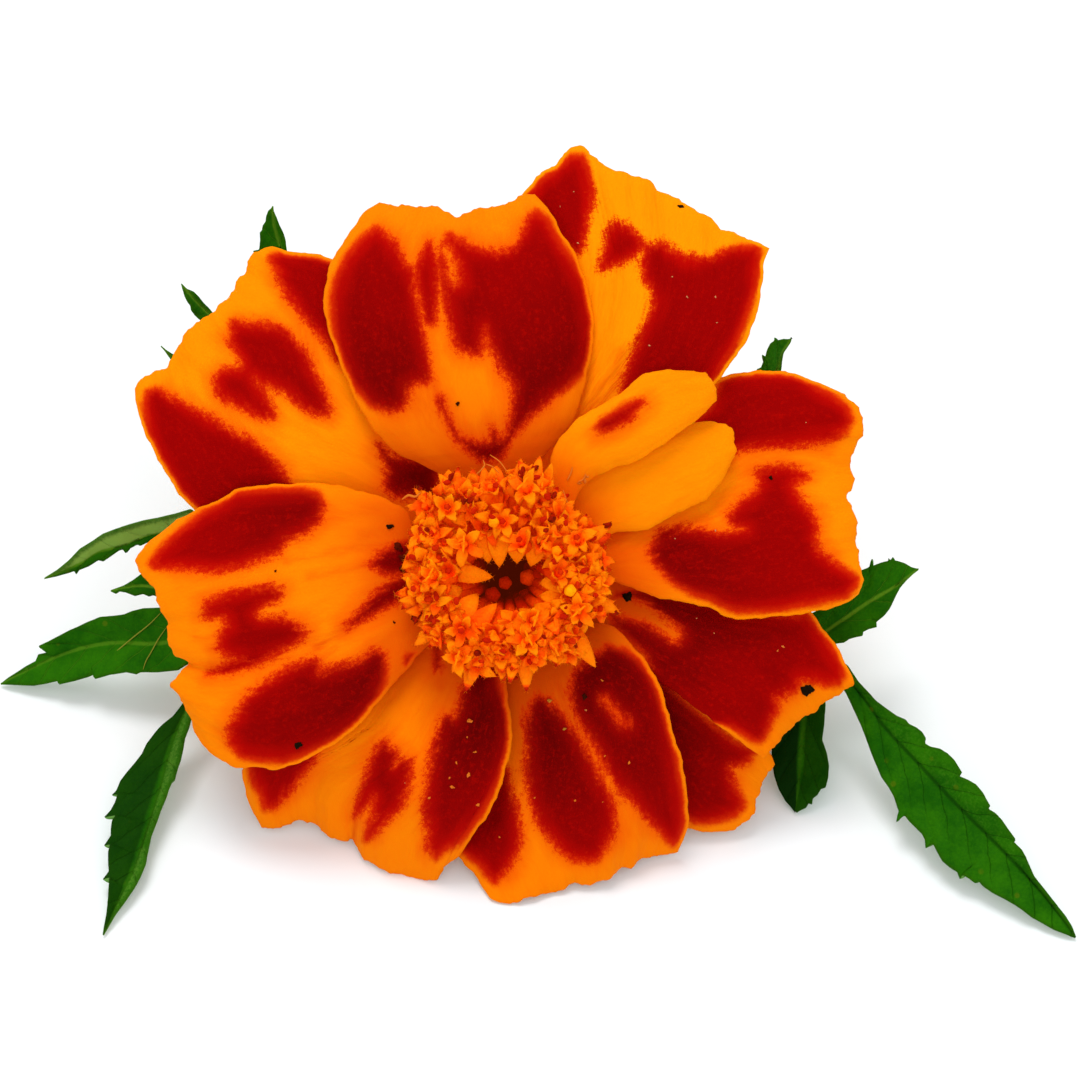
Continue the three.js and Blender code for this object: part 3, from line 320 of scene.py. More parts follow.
        cw=[(-6.1, -5.2), (-8.0, -6.5), (-10.4, -8.7), (-12.2, -10.6), (-14.5, -11.8), (-17, -12.6),
            (-18.8, -13.2), (-19.4, -14.6), (-19.3, -15.6), (-19, -16.7), (-18.6, -17.6)],
        tip=[(-4.6, -21.7), (-5, -22.4), (-5.5, -22.65), (-6.3, -22.5), (-7.3, -22.3), (-8.5, -22),
             (-9.3, -21.7), (-10, -21.2), (-10.7, -20.7), (-11, -20), (-11.3, -19.5), (-12, -19.75),
             (-12.8, -19.4), (-13.5, -19), (-13.9, -18.5), (-15, -18.15), (-16, -18.4), (-17, -18.75),
             (-17.8, -18.7)],
        heights=[(-2.2, -2.0, -3.0, -6.45), (-2.2, -2.4, -4.3, -9.15), (-2.2, -4.2, -6.0, -10.0)],
        pleats=[(0.38, 0.4, 0.45, 0.09)],
        crop=(235, 630, 3.6),
        red=[
            [(60, 480), (90, 400), (300, 400), (280, 462), (252, 508), (222, 548), (180, 590), (140, 628),
             (110, 638), (96, 590), (68, 540)],
            [(545, 400), (562, 430), (582, 442), (576, 490), (600, 470), (630, 466), (630, 520), (615, 580),
             (598, 640), (550, 680), (510, 720), (478, 752), (488, 700), (505, 655), (500, 600), (472, 635),
             (442, 668), (448, 620), (462, 570), (482, 510), (502, 450), (522, 420)],
            [(880, 60), (930, 100), (948, 200), (972, 270), (985, 350), (980, 430), (958, 510), (928, 580),
             (888, 650), (848, 710), (800, 758), (750, 790), (722, 815), (702, 780), (700, 720), (682, 650),
             (692, 600), (700, 520), (712, 440), (732, 370), (760, 312), (790, 322), (812, 280), (822, 220),
             (850, 140)],
        ],
        wine=[(0.25, [(-5.0, -4.9), (-4.95, -6.8)])],
        blush=[(0.9, 0.5, [(-4.95, -5.0), (-4.7, -8.2)]), (0.9, 0.2, [(-11.05, -19.6), (-10.85, -18.2)]),
               (0.5, 0.8, [(-3.4, -7.6), (-3.9, -9.8)])],
        specks=[(-2.6, -10.8, 0.5, 0.5), (-2.2, -13.1, 0.28, 0.5), (-2.7, -14.8, 0.45, 0.5),
                (-3.6, -13.9, 0.25, 0.5), (-4.1, -15, 0.25, 0.5), (-3.9, -15.7, 0.4, 0.5),
                (-2, -17, 0.4, 0.5),
                (-2.8, -12, 0.2, 0.5), (-5.6, -16.5, 0.3, 0.4), (-7.4, -15.4, 0.2, 0.8)],
    ),
    "petal_left": dict(
        dusk=0.3,
        claw=(-160.5, 24.5),
        ccw=[(-5.8, -5.3), (-7.2, -6.9), (-8.9, -8.8), (-10, -10.2), (-11.5, -11.7), (-13.5, -13),
             (-15.3, -13.9), (-17, -14.4), (-18.3, -14.2), (-19.5, -14.3), (-20.5, -14), (-21.5, -13.4),
             (-22.4, -12.5), (-23, -11.6)],
        cw=[(-6.6, 2.6), (-7.2, 4.6), (-8.5, 5.5), (-11, 6.3), (-13.5, 6.8), (-16, 6.75), (-18, 6.65),
            (-19.5, 6.45), (-20.5, 6), (-21.5, 5.4), (-22.6, 5), (-23.5, 4.5), (-24.5, 3.9), (-25.5, 3.1),
            (-26.2, 2.6)],
        tip=[(-23.2, -10.8), (-23.6, -9.9), (-24, -9.1), (-24.7, -8.1), (-24.3, -7.5), (-23.8, -6.9),
             (-23.3, -6.5), (-24.3, -6), (-24.7, -5.4), (-25, -4.9), (-25, -4.2), (-24.9, -3.6), (-25.3, -3),
             (-25.7, -2), (-26.1, -0.8), (-26.6, -0.3), (-27, 0.1), (-27.3, 0.8), (-27.2, 1.4),
             (-26.8, 2)],
        heights=[(-1.65, -2.0, -3.6, -5.4), (-1.65, -1.2, -1.9, -3.9), (-1.65, -2.3, -3.3, -4.5)],
        pleats=[(0.42, 0.38, -0.55, 0.08), (0.68, 0.68, 0.4, 0.09)],
        crop=(130, 470, 3.4),
        red=[
            [(75, 322), (110, 330), (180, 335), (290, 341), (380, 330), (450, 302), (510, 280), (530, 242),
             (600, 214), (640, 170), (660, 122), (640, 88), (590, 72), (500, 72), (420, 77), (360, 82),
             (300, 122), (250, 152), (200, 192), (150, 232), (110, 270)],
            [(252, 488), (266, 455), (320, 426), (400, 409), (470, 400), (518, 415), (498, 440), (452, 458),
             (436, 490), (450, 502), (520, 506), (560, 522), (600, 550), (580, 574), (540, 600), (480, 630),
             (420, 660), (350, 688), (268, 690), (330, 662), (390, 642), (330, 630), (302, 600), (306, 560),
             (330, 530), (322, 500), (280, 498)],
            [(612, 652), (638, 652), (646, 688), (720, 670), (780, 650), (830, 616), (860, 626), (870, 670),
             (860, 720), (830, 790), (780, 848), (720, 898), (660, 930), (600, 958), (520, 985), (450, 982),
             (380, 968), (342, 920), (332, 870), (370, 820), (400, 780), (450, 740), (520, 692), (570, 666)],
            [(821, 325), (848, 293), (889, 265), (945, 247), (981, 284), (972, 334), (926, 352), (871, 352)],
            [(935, 362), (977, 385), (945, 426), (871, 463), (821, 495), (738, 536), (788, 476), (825, 430),
             (871, 394)],
        ],
        wine=[(0.6, [(-7.0, -6.25), (-6.7, -6.55)])],
        blush=[(0.7, 0.45, [(-22.8, -4.6), (-21.4, -5.2)]),
               (0.6, 0.35, [(-16.2, 1.1), (-13.1, 1.6), (-10.6, 2.1), (-8.2, 2.3)]),
               (0.4, 0.35, [(-14.5, -0.1), (-11.5, 0.5), (-9.8, 0.8)]),
               (0.7, 0.5, [(-13.8, -5.2), (-11.4, -3.8)]), (0.6, 0.4, [(-12.6, -5.4), (-13.6, -6.6)]),
               (0.5, 0.5, [(-10.5, 2.9), (-8.5, 3.2), (-7.5, 3.4)]),
               (0.35, 0.6, [(-15.2, 2.4), (-12.0, 4.4), (-9.5, 5.0)])],
        specks=[(-15.3, -12.6, 0.55, -1), (-8.5, 3.6, 0.45, -0.9), (-17, 0.3, 0.2, -0.7),
                (-8.2, -3.5, 0.2, -0.7), (-6.6, -3.1, 0.6, -1), (-7.9, 2.1, 0.65, -0.6),
                (-7.6, 1.3, 0.5, -0.6), (-7.6, 0.5, 0.5, -0.6)],
    ),
    "petal_upper_left": dict(
        dusk=0.05,
        claw=(145, 25.5),
        ccw=[(-8.2, 2.8), (-11, 4.4), (-14, 5.1), (-17, 5), (-20, 4.6), (-22.2, 4.4), (-23.3, 5.1),
             (-24.1, 6), (-25, 7.4), (-25.8, 8.8), (-26.5, 10.2), (-27, 11.5), (-27.3, 12.7),
             (-27.4, 13.8)],
        cw=[(-3.7, 7.1), (-5.6, 9.4), (-8.2, 12.4), (-10.4, 16), (-11.5, 19), (-11.6, 21.5), (-11.9, 23.1),
            (-12.8, 23.4), (-13.5, 23.7), (-15, 23.85), (-16, 24), (-17.2, 24.35)],
        tip=[(-27, 14.5), (-26, 15), (-25.1, 15.4), (-24.6, 16.2), (-24, 17.3), (-23.4, 18.2),
             (-22.4, 19), (-21.9, 19.2), (-21.2, 20), (-20.6, 20.4), (-20.2, 21), (-19.8, 21.8),
             (-19.2, 22.5), (-19, 23.3), (-18.5, 23.9), (-17.9, 24.2)],
        heights=[(-4.7, -4.7, -5.1, -5.9), (-4.7, -3.7, -3.9, -5.5), (-4.7, -4.3, -4.7, -5.4)],
        pleats=[(0.5, 0.48, -0.5, 0.1)],
        crop=(130, 240, 3.4),
        red=[
            [(55, 560), (62, 518), (100, 512), (130, 540), (190, 566), (250, 596), (300, 626), (360, 656),
             (420, 690), (460, 720), (500, 765), (545, 820), (560, 870), (480, 960), (300, 970), (200, 905),
             (150, 840), (120, 780), (90, 720), (62, 640)],
            [(352, 282), (400, 292), (480, 292), (530, 312), (570, 352), (598, 392), (620, 440), (648, 490),
             (664, 540), (678, 588), (640, 588), (590, 564), (540, 530), (490, 500), (440, 478), (428, 470),
             (450, 512), (470, 550), (490, 600), (440, 600), (390, 574), (340, 548), (302, 518), (298, 472),
             (322, 446), (378, 432), (370, 390), (342, 350)],
            [(480, 62), (520, 46), (580, 46), (640, 52), (700, 72), (790, 150), (800, 450), (700, 400),
             (660, 332), (620, 290), (580, 250), (547, 205), (520, 150), (500, 100)],
            [(850, 705), (890, 738), (940, 745), (1040, 760), (1040, 880), (960, 868), (905, 870), (872, 840),
             (882, 780)],
        ],
    ),
    "petal_small_upper": dict(
        claw=(51, 9),
        ccw=[(3.2, 7.3), (3.6, 9.3), (5, 11.2), (6.2, 12.1), (8, 13.1), (9.2, 14), (10, 14.7), (11, 15.1),
             (12.5, 15.15), (14, 15.1)],
        cw=[(5.8, 6.6), (8, 7.9), (9.4, 8.3), (11, 9.2), (12.4, 10.2), (13.8, 11.2), (14.9, 12.1)],
        tip=[(14.9, 14.85), (15.4, 14.3), (15.7, 13.7), (15.5, 12.9)],
        heights=[(-1.0, -0.5, 0.2, 0), (-1.0, -0.2, 0.7, 0.3), (-1.0, -0.5, 0.2, 0.1)],
        specks=[(5.9, 7.0, 0.5, 0.6), (5.5, 6.8, 0.35, 0.6), (6.1, 7.3, 0.35, 0.6)],
        threads=[(0.07, [(5.4, 6.9), (5.8, 7.1), (6.0, 7.5)]), (0.07, [(4.6, 7.0), (4.9, 7.6), (5.0, 8.0)])],
        pleats=[],
        crop=(600, 360, 3.8),
        red=[
            [(158, 155), (168, 168), (140, 192), (110, 225), (60, 254), (22, 268), (-10, 262), (10, 232),
             (50, 204), (105, 172)],
        ],
    ),
    "petal_small_lower": dict(
        claw=(29, 9),
        ccw=[(5.3, 6.1), (7.1, 8.5), (9.6, 9.9), (12, 10.8), (13.9, 11.3), (15.3, 11.4)],
        cw=[(8, 3.1), (10, 3.3), (11.3, 3.7), (12.3, 4.4), (13.5, 4.9), (14.8, 5.6), (15.8, 6.6),
            (16.4, 7.6)],
        tip=[(16.2, 11.2), (16.75, 10.9), (17, 10.1), (17.1, 9.3), (16.8, 8.5)],
        heights=[(-2.1, -1.8, -1.3, -1.3), (-2.1, -1.6, -0.9, -1.1), (-2.1, -1.7, -1.1, -1.5)],
        pleats=[],
    ),
}

# The leaflets: rib runs along the middle as x, y, z, and left and right are the edges as seen.
# slope tilts the blade across, tones tints its two halves from -1 dark to 1 pale, the dark painted
# shade, deepest on the leaflet under the lower right petals, and vein runs from dark veins below 0
# to pale ones above it. Leaflets without edges are hidden and get saw teeth.
# rows and columns say how fine the blade's grid is, and straws lie across the leaflet.
RIGHT_LEAFLETS = [
    dict(rib=[(22.6, -5.3, -12.9), (24.2, -6.6, -12.3), (26.4, -8.9, -11.4), (28.1, -11.2, -10.3),
              (30.7, -14.0, -8.9), (33.2, -16.7, -7.7), (36.2, -19.7, -6.3), (38.9, -22.5, -5.2),
              (41.1, -25.2, -4.4), (42.25, -26.85, -4)],
         left=[(22.8, -5.1), (24.3, -5.8), (25.4, -6.7), (26.2, -7.9), (26.95, -8.7), (27.5, -9.3),
               (28.3, -9.9), (29.0, -10.4), (29.7, -10.7), (29.9, -11.0), (30.5, -11.3), (30.9, -11.6),
               (31.2, -12.1), (31.1, -12.45), (31.5, -12.7), (32.2, -12.85), (32.8, -13.2), (33.3, -13.7),
               (33.85, -14.6), (33.7, -14.9), (34.3, -15.15), (34.9, -15.5), (35.4, -16.1), (35.95, -17.1),
               (35.8, -17.3), (36.3, -17.6), (36.8, -18.1), (37.2, -18.7), (37.85, -19.6), (37.7, -19.75),
               (38.3, -20.35), (38.6, -20.9), (38.9, -21.6), (39.2, -22.3), (40.0, -23.3), (40.7, -24.2),
               (41.5, -25.2), (42.0, -26.0), (42.3, -26.8)],
         right=[(22.4, -5.5), (24.3, -7.4), (25.25, -8.7), (25.8, -9.9), (26.4, -11.2), (26.9, -12.5),
                (27.3, -13.6), (27.9, -15.0), (28.4, -15.7), (28.8, -16.4), (29.0, -17.0), (29.2, -17.6),
                (29.0, -18.3), (29.6, -17.8), (30.0, -18.3), (30.4, -18.7), (30.9, -19.2), (31.1, -19.6),
                (31.15, -20.25), (31.7, -19.9), (32.0, -20.5), (32.4, -21.2), (33.0, -21.7), (33.5, -22.0),
                (33.7, -22.55), (33.9, -22.2), (34.4, -22.5), (34.85, -22.85), (35.1, -22.7),
                (35.4, -23.05), (36.2, -23.6), (37.0, -24.0), (37.7, -24.4), (38.3, -24.8), (39.0, -25.35),
                (39.8, -25.8), (40.7, -26.3), (41.5, -26.6), (42.25, -26.9)],
         slope=0.15, tones=(0.1, 0.0), vein=-0.5, seed=21, rows=190, columns=15),
    dict(rib=[(20.4, -4.0, -13.3), (23.0, -4.5, -12.8), (24.9, -3.4, -12.5), (26.95, -2.0, -12.3),
              (28.85, -0.9, -12.2), (30.6, 0.45, -12.4)],
         left=[(20.4, -3.8), (23.0, -2.7), (24.1, -1.4), (25.25, -0.3), (26.5, 0.4), (26.8, 0.5),
               (27.1, 0.7), (27.2, 1.2), (27.3, 0.7), (27.7, 0.87), (28.1, 1.0), (28.4, 1.05), (28.4, 1.3),
               (28.55, 1.1), (28.75, 1.35), (28.85, 1.1), (29.1, 1.05), (29.6, 0.9), (30.1, 0.6),
               (30.65, 0.45)],
         right=[(20.4, -4.3), (22.5, -5.1), (24.3, -5.1), (25.1, -5.0), (25.5, -4.75), (26.0, -4.6),
                (26.5, -4.5), (26.55, -4.2), (26.95, -4.0), (27.55, -3.85), (27.5, -3.5), (28.1, -3.0),
                (28.5, -2.5), (28.75, -2.0), (29.0, -1.45), (29.3, -0.9), (29.7, -0.4), (30.2, 0.05),
                (30.65, 0.4)],
         slope=-0.2, tones=(0.0, -0.15), seed=22, rows=110, columns=12),
    # The leaflet under the lower right petals, toned dark: painted shade
    dict(rib=[(22.2, -5.1, -13), (22.3, -9.3, -13), (21.95, -13, -12.5), (21.8, -15.2, -12.1),
              (21.55, -17.3, -11.7)],
         left=[(22.5, -5.1), (23.6, -6.8), (23.75, -9.6), (23.65, -11.1), (23.5, -12.2), (23.85, -13.2),
               (24.0, -14.1), (23.95, -15.0), (23.75, -15.75), (23.4, -15.85), (23.15, -16.3),
               (22.8, -16.55), (22.75, -17.0), (22.5, -16.9), (22.3, -17.25), (21.95, -17.4), (21.6, -17.6)],
         right=[(21.9, -5.1), (20.4, -7.5), (20.0, -9.3), (19.75, -12.2), (19.75, -13.6), (19.95, -14.9),
                (20.3, -15.9), (20.75, -16.7), (21.1, -17.1), (21.5, -17.6)],
         slope=0.3, tones=(-0.6, -0.95), vein=0.03, seed=23, rows=110, columns=11),
    dict(rib=[(13.2, 1.9, -14.6), (16.4, 7.6, -14.4), (18.2, 11.2, -14.0), (19.5, 14, -13.7),
              (20.2, 15.5, -13.5), (20.45, 16.4, -13.4), (20.85, 17.0, -13.3), (21.24, 17.57, -13.2)],
         left=[(13.0, 2.1), (15, 7.5), (16.6, 10.8), (17.9, 13.4), (18.66, 15.25), (18.98, 15.38),
               (19.19, 15.95), (19.03, 16.37), (19.29, 16.16), (19.4, 16.63), (19.66, 17.16),
               (19.97, 17.36), (20.0, 17.63), (20.18, 17.39), (20.65, 17.5), (21.07, 17.47), (21.26, 17.58)],
         right=[(13.4, 1.7), (17.4, 7.4), (19.2, 10.9), (20.2, 13.6), (20.47, 15.17), (20.55, 15.9),
                (20.65, 16.47), (20.91, 16.84), (21.18, 17.26), (21.26, 17.58)],
         slope=0.3, tones=(0.1, -0.1), seed=24, rows=120),
    dict(rib=[(13.4, 1.7, -14.6), (15.6, -3.4, -15.4), (17, -8.8, -15.6)],
         width=1.6, slope=-0.2, seed=25),
]
LEFT_LEAFLETS = [
    dict(rib=[(-21.4, -4.4, -14.2), (-24.6, -4.95, -15.1), (-26.4, -5.1, -15.8), (-28.5, -5.0, -16.6),
              (-30.4, -5.2, -17.4), (-32.3, -5.7, -18.2), (-33.8, -6.3, -18.7), (-35.1, -6.9, -19.1),
              (-36.1, -7.4, -19.3), (-37.3, -8.05, -19.48)],
         left=[(-21.5, -4.8), (-22.6, -6.0), (-23.4, -6.55), (-24.2, -7.05), (-25.7, -7.2), (-27.0, -7.2),
               (-27.3, -7.35), (-28.05, -7.2), (-29.3, -7.4), (-30.35, -7.7), (-30.4, -7.35), (-31.0, -7.6),
               (-31.9, -7.85), (-33.0, -8.1), (-33.15, -7.85), (-34.0, -8.05), (-34.9, -8.2),
               (-36.1, -8.15), (-37.35, -8.1)],
         right=[(-21.3, -4.1), (-23.6, -2.8), (-25.5, -2.4), (-26.8, -2.45), (-27.6, -2.65), (-28.2, -2.9),
                (-28.9, -3.0), (-30.0, -3.1), (-31.0, -3.5), (-31.7, -3.85), (-32.3, -4.1), (-33.15, -4.55),
                (-33.9, -4.95), (-34.55, -5.25), (-34.2, -5.35), (-33.75, -5.5), (-34.0, -5.75),
                (-34.55, -5.85), (-34.65, -6.3), (-35.4, -6.7), (-36.1, -7.15), (-36.8, -7.6),
                (-37.3, -8.0)],
         slope=0.2, tones=(-0.1, -0.2), vein=0.35, seed=31, rows=170, columns=13,
         straws=[[(-25.4, -2.7), (-26.4, -3.7), (-27.4, -4.5), (-28.6, -5.5), (-29.8, -6.5)],
                 [(-25.1, -3.9), (-25.7, -4.8), (-26.2, -5.7), (-26.6, -6.4), (-26.8, -7.0)]]),
    dict(rib=[(-21.6, -4.6, -14.2), (-23.6, -9.95, -12.9), (-24.65, -12.6, -11.9), (-25.5, -15.8, -10.3),
              (-26.15, -17.9, -9.1), (-27.0, -20.5, -7.7), (-27.85, -22.6, -6.5), (-28.9, -24.7, -5.3),
              (-29.75, -26.65, -4.15)],
         left=[(-21.3, -4.6), (-22.2, -8), (-23.2, -10.6), (-23.4, -11.35), (-23.7, -12.1), (-23.8, -12.8),
               (-24.0, -13.7), (-24.25, -14.4), (-24.45, -15.2), (-24.65, -15.35), (-24.9, -15.9),
               (-25.1, -16.55), (-25.5, -17.5), (-25.8, -18.35), (-26.05, -19.0), (-26.2, -19.4),
               (-26.45, -20.6), (-26.6, -21.45), (-27.0, -22.4), (-27.4, -23.15), (-28.05, -24.1),
               (-28.9, -25.25), (-29.7, -26.65)],
         right=[(-21.9, -4.6), (-23.1, -8), (-23.85, -9.55), (-24.65, -10.5), (-25.3, -11.0),
                (-25.9, -11.65), (-26.55, -12.5), (-26.9, -13.25), (-27.4, -13.9), (-28.05, -14.65),
                (-28.5, -15.25), (-28.8, -16.0), (-29.1, -16.3), (-28.7, -16.25), (-28.9, -16.85),
                (-29.2, -17.4), (-29.7, -17.95), (-28.85, -17.8), (-29.1, -18.15), (-29.2, -18.8),
                (-29.2, -19.3), (-29.7, -20.05), (-29.25, -19.95), (-29.4, -20.5), (-29.4, -21.1),
                (-29.35, -21.95), (-29.8, -22.55), (-29.3, -22.4), (-29.35, -23.0), (-29.4, -23.9),
                (-29.5, -24.95), (-29.65, -25.8), (-29.8, -26.65)],
         slope=0.25, tones=(0.3, -0.65), vein=0.0, seed=32, rows=190, columns=12),
    dict(rib=[(-17.6, -0.3, -14.8), (-21, 2.2, -15.3), (-23.5, 3.2, -15.6), (-26.15, 3.0, -16.1),
              (-28.1, 2.25, -16.5), (-30.1, 1.75, -16.8), (-31.2, 1.05, -17.0), (-32.1, 0.65, -17.1),
              (-34.1, -0.25, -17.2)],
         left=[(-17.6, -0.6), (-20, 0.9), (-23, 2.2), (-25.9, 2.6), (-26.6, 2.35), (-27.0, 2.15),
               (-27.2, 2.25), (-27.95, 1.95), (-28.1, 1.6), (-28.3, 1.9), (-28.6, 1.8), (-29.1, 1.45),
               (-29.75, 1.0), (-30.1, 1.1), (-30.8, 0.65), (-31.55, 0.35), (-31.75, 0.05), (-31.9, 0.3),
               (-32.3, 0.15), (-33.2, -0.1), (-34.15, -0.3)],
         right=[(-17.6, 0.0), (-20, 3.0), (-23.3, 4.9), (-24.45, 4.55), (-25.5, 4.3), (-26.8, 4.05),
                (-27.85, 3.75), (-28.9, 3.4), (-29.8, 3.05), (-30.6, 2.5), (-31.5, 1.95), (-32.3, 1.1),
                (-33.2, 0.35), (-34.1, -0.2)],
         slope=-0.4, tones=(-0.35, 1.0), seed=33, rows=150, columns=11),
    dict(rib=[(-20.2, -2.9, -14.5), (-24, -1.4, -15.2), (-27, -0.8, -15.7), (-29.15, -1.15, -16)],
         left=[(-20.3, -3.1), (-22, -2.7), (-26.05, -1.5), (-26.35, -1.6), (-26.8, -1.4), (-27.4, -1.55),
               (-28.05, -1.3), (-28.6, -1.2), (-28.8, -1.4), (-29.2, -1.2)],
         right=[(-20.1, -2.7), (-24, -0.1), (-26.95, 0.1), (-27.2, -0.1), (-27.6, -0.4), (-28.3, -0.8),
                (-29.15, -1.1)],
         slope=0.1, tones=(-0.3, -0.1), seed=34, rows=90, columns=8),
    dict(rib=[(-12.4, 2.7, -15), (-14.8, 9, -15.2), (-17.6, 14, -14.8)],
         width=1.5, slope=0.2, seed=35),
]
BACK_LEAFLETS = [
    dict(rib=[(-13.4, 15.4, -29.4), (-14.9, 19.5, -28.3), (-16.0, 22.3, -27.5), (-16.64, 24.38, -27),
              (-16.95, 25.4, -26.6), (-17.12, 26.05, -26.4), (-17.17, 26.8, -26.2), (-17.19, 27.33, -26)],
         left=[(-13.7, 15.5), (-16, 19.3), (-17.6, 22.2), (-18.3, 23.6), (-18.69, 24.01), (-18.21, 24.11),
               (-18.13, 24.8), (-18.16, 25.4), (-18, 25.53), (-17.95, 25.9), (-17.74, 26.16),
               (-17.69, 26.58), (-17.53, 26.99), (-17.32, 27.15), (-17.22, 27.32)],
         right=[(-13.1, 15.3), (-14, 18.6), (-15.2, 21.5), (-16, 23.4), (-16.14, 24.01), (-16.2, 24.38),
                (-16.24, 24.8), (-16.43, 25.42), (-16.7, 25.95), (-16.9, 26.47), (-17.12, 26.94),
                (-17.16, 27.34)],
         slope=0.1, tones=(-0.1, 0.0), seed=41, rows=120),
    dict(rib=[(-13.5, 15.3, -29.4), (-18, 16.8, -27.2), (-20.6, 18.2, -25.6), (-22.2, 19.6, -24.8),
              (-23, 20.4, -24.3), (-23.96, 21.58, -24)],
         left=[(-13.5, 15.1), (-18, 15.6), (-20.8, 16.8), (-22.52, 18.85), (-22.73, 19.01), (-22.99, 19.27),
               (-23.25, 19.59), (-23.3, 19.95), (-23.51, 20.21), (-23.72, 20.63), (-23.88, 21.16),
               (-23.98, 21.56)],
         right=[(-13.5, 15.5), (-17.4, 17.8), (-20, 19), (-21.68, 19.48), (-21.89, 19.74), (-22.31, 20.16),
                (-22.67, 20.63), (-23.04, 21), (-23.56, 21.21), (-23.94, 21.6)],
         slope=0.2, tones=(0.1, 0.15), seed=42, rows=110),
    dict(rib=[(-11.2, 13.6, -29.5), (-18, 13.8, -26.5), (-22.5, 14.6, -24), (-24.3, 15.8, -22.8),
              (-25.47, 16.96, -22.4)],
         left=[(-11.2, 13.3), (-15, 12.6), (-19, 12.6), (-22, 13), (-23.6, 14.1), (-24.3, 15.2),
               (-24.77, 16), (-25.04, 16.38), (-25.27, 16.7), (-25.48, 16.93)],
         right=[(-11.2, 13.9), (-15, 14.6), (-19, 15), (-22, 15.6), (-23.6, 16), (-24.3, 16.2),
                (-24.68, 16.42), (-25.13, 16.7), (-25.46, 16.99)],
         slope=0.1, tones=(0.25, 0.25), seed=43, rows=110),
]


# Places and shapes
def on_table(x, y, z):
    """A point of the bloom's frame on the table's axes."""
    x, y, z = np.broadcast_arrays(*(np.asarray(v, float) for v in (x, y, z)))
    return FACE_CENTRE + x[..., None] * ACROSS + y[..., None] * FACE_UP + z[..., None] * FACE_OUT


def seen(x, y, z):
    """A point seen at x, y from in front that lies z out of the face."""
    middle_x, middle_y = VIEW_MIDDLE
    k = 1 - z / VIEW_DISTANCE
    return on_table(middle_x + (x - middle_x) * k, middle_y + (y - middle_y) * k, z)


def table_point(x, y, z):
    """A point given on the table's axes before the part was centred."""
    return np.array([x, y, z], float) + FACE_CENTRE - np.array([0, 0, DRAWN_HEIGHT])


def from_crop(crop, points):
    """Points read in an enlarged crop of the photo, in the bloom's frame to a tenth of a millimetre."""
    left, top, scale = crop
    middle_x, middle_y = PHOTO_MIDDLE
    return [(round((left + x / scale - middle_x) / PHOTO_SCALE, 1),
             round((middle_y - top - y / scale) / PHOTO_SCALE, 1)) for x, y in points]


def mix(a, b, t):
    return a + (b - a) * t


def polar(radius, degrees):
    angle = np.radians(degrees)
    return radius * np.cos(angle), radius * np.sin(angle)


def unit(v):
    return v / np.linalg.norm(v, axis=-1, keepdims=True)


def measured(curve):
    """A line: its points and how long it is up to each of them."""
    steps = np.linalg.norm(np.diff(curve, axis=0), axis=1)
    return curve, np.concatenate([[0], np.cumsum(steps)])


def spline(points, per=24):
    """A dense smooth line through points, with per steps between two of them."""
    p = np.array(points, float)
    p = np.vstack([2 * p[0] - p[1], p, 2 * p[-1] - p[-2]])
    out = []
    t = np.arange(per)[:, None] / per
    for a, b, c, d in zip(p, p[1:], p[2:], p[3:]):
        ta, tb, tc = (max(np.linalg.norm(q - r), 1e-9) ** 0.5 for q, r in ((b, a), (c, b), (d, c)))
        m1 = ((b - a) / ta - (c - a) / (ta + tb) + (c - b) / tb) * tb
        m2 = ((c - b) / tb - (d - b) / (tb + tc) + (d - c) / tc) * tb
        out.append(b + m1 * t + (3 * c - 3 * b - 2 * m1 - m2) * t**2 + (2 * b - 2 * c + m1 + m2) * t**3)
    return measured(np.vstack([*out, p[-2:-1]]))


def at(line, t):
    """The points at shares t of a line's length."""
    curve, length = line
    s = np.clip(t, 0, 1) * length[-1]
    return np.stack([np.interp(s, length, curve[:, k]) for k in range(curve.shape[1])], -1)


def wobble(s, seed, wave):
    """A repeatable uneven wave of s, about 1 high, whose main length is wave."""
    rng = np.random.default_rng(seed)
    total = 0
    for share, height in ((1.0, 0.5), (0.61, 0.35), (0.37, 0.25), (0.23, 0.15)):
        total = total + height * np.sin(2 * math.pi * s / (wave * share) + 6.28 * rng.random())
    return total


def frayed(line, seed, size, wave):
    """The line with small uneven waves across it that fade out at both ends."""
    curve, length = line
    tangent = unit(np.gradient(curve, axis=0))
    normal = np.stack([-tangent[:, 1], tangent[:, 0]], -1)
    t = length / length[-1]
    window = np.clip(np.minimum(t, 1 - t) * 10, 0, 1)
    return measured(curve + normal * (size * window * wobble(length, seed, wave))[:, None])


def line_distance(x, y, points, closed=False):
    """How far places are from a line through points."""
    p = np.array(points, float)
    q = np.roll(p, -1, axis=0) if closed else p[1:]
    best = np.full(np.shape(x), 1e9)
    for (ax, ay), (bx, by) in zip(p, q):
        ex, ey = bx - ax, by - ay
        t = np.clip(((x - ax) * ex + (y - ay) * ey) / max(ex * ex + ey * ey, 1e-12), 0, 1)
        best = np.minimum(best, np.hypot(x - ax - t * ex, y - ay - t * ey))
    return best


def inside(x, y, points):
    """Which places lie inside an outline."""
    odd = np.zeros(np.shape(x), bool)
    for (ax, ay), (bx, by) in zip(points, points[1:] + points[:1]):
        crosses = (ay > y) != (by > y)
        slope = (bx - ax) / (by - ay) if by != ay else 0
        odd ^= crosses & (x < ax + (y - ay) * slope)
    return odd


# Meshes
def grid_faces(rows, columns, wrap=False):
    """Quads over a grid of points, facing along across x along."""
    i, j = np.meshgrid(np.arange(rows - 1), np.arange(columns if wrap else columns - 1), indexing="ij")
    k = (j + 1) % columns
    quads = np.stack([i * columns + j, i * columns + k, (i + 1) * columns + k, (i + 1) * columns + j], -1)
    return quads.reshape(-1, 4)


